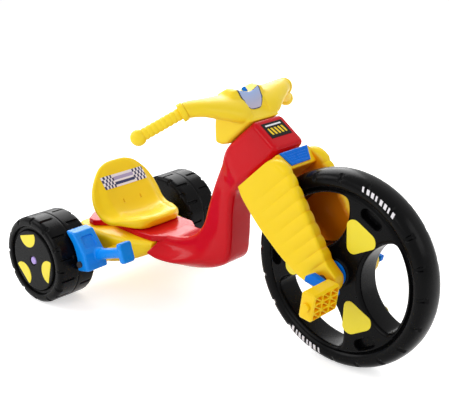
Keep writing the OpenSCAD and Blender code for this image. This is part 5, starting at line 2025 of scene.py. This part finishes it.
@dataclass
class Brake:
    """Blue hand brake: a block that hugs the right tyre, a round handle and a cross plate."""

    radius: float = LAYOUT.rear_r + 4.0
    top_angle: float = 49.0
    low_angle: float = -5.0
    corners: Rows = ((142.4, 100.0), (132.3, 137.4), (96.0, 179.8))
    inner: float = LAYOUT.rear_in + 0.3
    outer: float = 210.3
    corner_r: float = 5.0
    block_edge: float = 4.5
    handle_y: float = 169.7
    handle_d: float = 25.0
    handle_l: float = 112.0
    handle_power: float = 0.8
    handle_rows: Rows = ((1.25, 0.0), (1.1, 14.0), (0.95, 40.0), (0.92, 70.0))
    handle_gap: float = 4.0
    tilt: float = 18.0
    plate: Numbers = (46.0, 34.0, 15.0)
    plate_r: float = 6.0
    plate_edge: float = 3.5
    panel_size: Numbers = (31.0, 34.0)
    panel_r: float = 6.0
    panel_span: Numbers = (-4.5, 6.0)
    panel_edge: float = 1.2

    def block(self) -> Shell:
        """Block: its side outline with rounded corners, made solid along Y.

        Returns:
            The closed surface.
        """
        hug = arc((0.0, LAYOUT.rear_r), self.radius, self.top_angle, self.low_angle, 25)
        outline = soften(np.vstack([hug, np.array(self.corners)]), 1.5, self.corner_r, True)
        solid = slab(outline, -self.outer, -self.inner, self.block_edge)
        return solid.shifted(np.array([LAYOUT.rear_x, 0, 0]))

    def along_handle(self, local: np.ndarray) -> Shell:
        """Surface given across, along Y and along the handle, put in the part's frame.

        Args:
            local: rows of such points.

        Returns:
            The closed surface.
        """
        a = math.radians(self.tilt)
        along = np.array([math.cos(a), 0, math.sin(a)])
        down = np.array([math.sin(a), 0, -math.cos(a)])
        (pivot_x, pivot_z), boss = LAYOUT.brake_pivot, LAYOUT.brake_boss_r
        root = np.array([LAYOUT.rear_x + pivot_x + boss / 2, -self.handle_y, pivot_z + boss])
        side = np.array([0, 1.0, 0])
        return Shell.grid(root + local[..., :1] * down + local[..., 1:2] * side + local[..., 2:] * along)

    def handle(self) -> list[Shell]:
        """Waisted round handle, as squarish rings along its length, and the plate across its end.

        Returns:
            Both closed surfaces.
        """
        length = self.handle_l
        ring = bent(circle((0.0, 0.0), 1.0, 48), self.handle_power)
        sizes = spline(np.vstack([self.handle_rows, [1.0, length - self.handle_gap]]), 6)
        rows = [np.column_stack([ring * self.handle_d / 2 * k, np.full(len(ring), h)]) for k, h in sizes]
        tall, wide, thick = self.plate
        cross = puffed(rounded_box(tall, wide, self.plate_r, 1.5), length - thick, length, self.plate_edge)
        return [self.along_handle(np.stack(rows)), self.along_handle(cross)]

    def build(self) -> None:
        """Builds the lever in one skin and sinks the panel into its sloping face."""
        lever = Piece("brake_moulding", [self.block(), *self.handle()], AZURE).fused(1.6, 5)
        lever.cut(self.panel()).ride("brake", "brake_lever")

    def panel(self) -> Shell:
        """Cutter of the rounded square sunk into the block's sloping face.

        Returns:
            The closed surface.
        """
        knee, head = np.array(self.corners[1]), np.array(self.corners[2])
        mid = (knee + head) / 2
        along = unit(head - knee)
        out = np.array([-along[1], along[0]])
        out = out if out[0] > 0 else -out
        q = puffed(rounded_box(*self.panel_size, self.panel_r, 1.5), *self.panel_span, self.panel_edge)
        x = LAYOUT.rear_x + mid[0] + q[..., 0] * along[0] + q[..., 2] * out[0]
        z = mid[1] + q[..., 0] * along[1] + q[..., 2] * out[1]
        y = -(self.inner + self.outer) / 2 + q[..., 1]
        return Shell.grid(np.stack([x, y, z], -1))


@dataclass
class Fittings:
    """Finishes of the CAD nodes that are shown as they are."""

    steel: Names = (
        "seat_bolts",
        "frame_bolts",
        "rear_axle",
        "axle_washers",
        "fork_dowels",
        "steering_post",
        "post_nut",
        "crank_axle",
        "spindle_right",
        "spindle_left",
    )
    trim: Names = ("brake_bolt", "steering_washers")
    bushes: Names = ("steering_bush_lower", "steering_bush_upper", "axle_bush_right", "axle_bush_left")
    yellow: Names = ("spindle_cap_right", "spindle_cap_left")

    def build(self) -> None:
        """Gives each node its material."""
        groups = ((self.steel, STEEL), (self.trim, TRIM), (self.bushes, BUSH), (self.yellow, PEDAL_YELLOW))
        for names, finish in groups:
            for name in names:
                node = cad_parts[name]
                node.data.materials.clear()
                node.data.materials.append(finish.material())
                LOG.info("%s: CAD node in %s", name, finish.name)


@dataclass
class Studio:
    """Pale floor, soft white room, lamps and the camera."""

    place: Numbers = (1.2485, -1.393, 0.934)
    yaw: float = 132.57
    pitch: float = 19.43
    lens: float = 74.48
    sensor: float = 36.0
    clip_end: float = 60.0
    floor_half: float = 14.0
    floor_shade: float = 0.86
    floor_rough: float = 0.9
    floor_glow: float = 0.56
    sky: float = 0.52
    ground: float = 0.5
    horizon: Numbers = (-0.2, 0.9)
    lamps: tuple[tuple[str, Numbers, float, float], ...] = (
        ("key", (0.2, -2.6, 1.8), 1.6, 21.0),
        ("fill", (2.4, 0.6, 1.6), 1.4, 14.0),
        ("back", (-2.4, 1.85, 2.2), 3.0, 112.0),
        ("side", (-2.0, -1.5, 2.0), 1.4, 24.0),
    )
    aim: Numbers = (0.0, 0.0, 0.2)

    WHITE: ClassVar[Numbers] = (1.0, 1.0, 1.0, 1.0)

    def build(self) -> None:
        """Builds the room."""
        self.floor()
        self.room()
        self.lights()
        self.camera()
        bpy.context.scene.view_settings.view_transform = "Standard"

    def floor(self) -> None:
        """Plain pale floor, lifted to white where it is seen and no shadow falls."""
        h = self.floor_half
        mesh = bpy.data.meshes.new("floor")
        mesh.from_pydata([(-h, -h, 0), (h, -h, 0), (h, h, 0), (-h, h, 0)], [], [(0, 1, 2, 3)])
        mat = bpy.data.materials.new("floor_white")
        mat.use_nodes = True
        graph = Graph(mat.node_tree)
        inputs = {
            "Base Color": (self.floor_shade, self.floor_shade, self.floor_shade, 1.0),
            "Roughness": self.floor_rough,
            "Specular IOR Level": 0.0,
            "Emission Color": self.WHITE,
            "Emission Strength": graph.maths("MULTIPLY", graph.shown(), self.floor_glow),
        }
        graph.fill(mat.node_tree.nodes["Principled BSDF"], inputs)
        mesh.materials.append(mat)
        obj = bpy.data.objects.new("floor", mesh)
        bpy.context.scene.collection.objects.link(obj)

    def room(self) -> None:
        """White where it is seen, and brighter above than below where it only lights."""
        world = bpy.data.worlds.new("room")
        bpy.context.scene.world = world
        world.use_nodes = True
        graph = Graph(world.node_tree)
        way = graph.node("TexCoord", {}).outputs["Generated"]
        height = graph.node("SeparateXYZ", {"Vector": way}).outputs["Z"]
        light = graph.span(height, self.horizon, (self.ground, self.sky))
        strength = graph.blend("FLOAT", graph.shown(), light, 1.0)
        graph.fill(world.node_tree.nodes["Background"], {"Color": self.WHITE, "Strength": strength})

    def lights(self) -> None:
        """Square soft lamps that all face the tricycle."""
        for name, place, size, power in self.lamps:
            lamp = bpy.data.lights.new(name, "AREA")
            lamp.shape = "SQUARE"
            lamp.size = size
            lamp.energy = power
            obj = bpy.data.objects.new(name, lamp)
            obj.location = place
            obj.rotation_euler = (Vector(self.aim) - Vector(place)).to_track_quat("-Z", "Y").to_euler()
            bpy.context.scene.collection.objects.link(obj)

    def camera(self) -> None:
        """Camera at the photograph's place."""
        data = bpy.data.cameras.new("camera")
        data.sensor_width = self.sensor
        data.lens = self.lens
        data.clip_end = self.clip_end
        obj = bpy.data.objects.new("camera", data)
        yaw, pitch = math.radians(self.yaw), math.radians(self.pitch)
        ahead = Vector((math.cos(yaw) * math.cos(pitch), math.sin(yaw) * math.cos(pitch), -math.sin(pitch)))
        obj.location = self.place
        obj.rotation_euler = ahead.to_track_quat("-Z", "Y").to_euler()
        bpy.context.scene.collection.objects.link(obj)
        bpy.context.scene.camera = obj


def main() -> None:
    """Builds the room and every part of the tricycle, and reports each."""
    logging.basicConfig(level=logging.INFO, format="%(name)s: %(message)s")
    parts = (Studio, Body, RearFrame, Seat, Fork, Handlebar, FrontWheel, Cranks, RearWheels, Brake, Fittings)
    for part in parts:
        LOG.info("building %s", part.__name__)
        part().build()


if __name__ == "__main__":
    main()
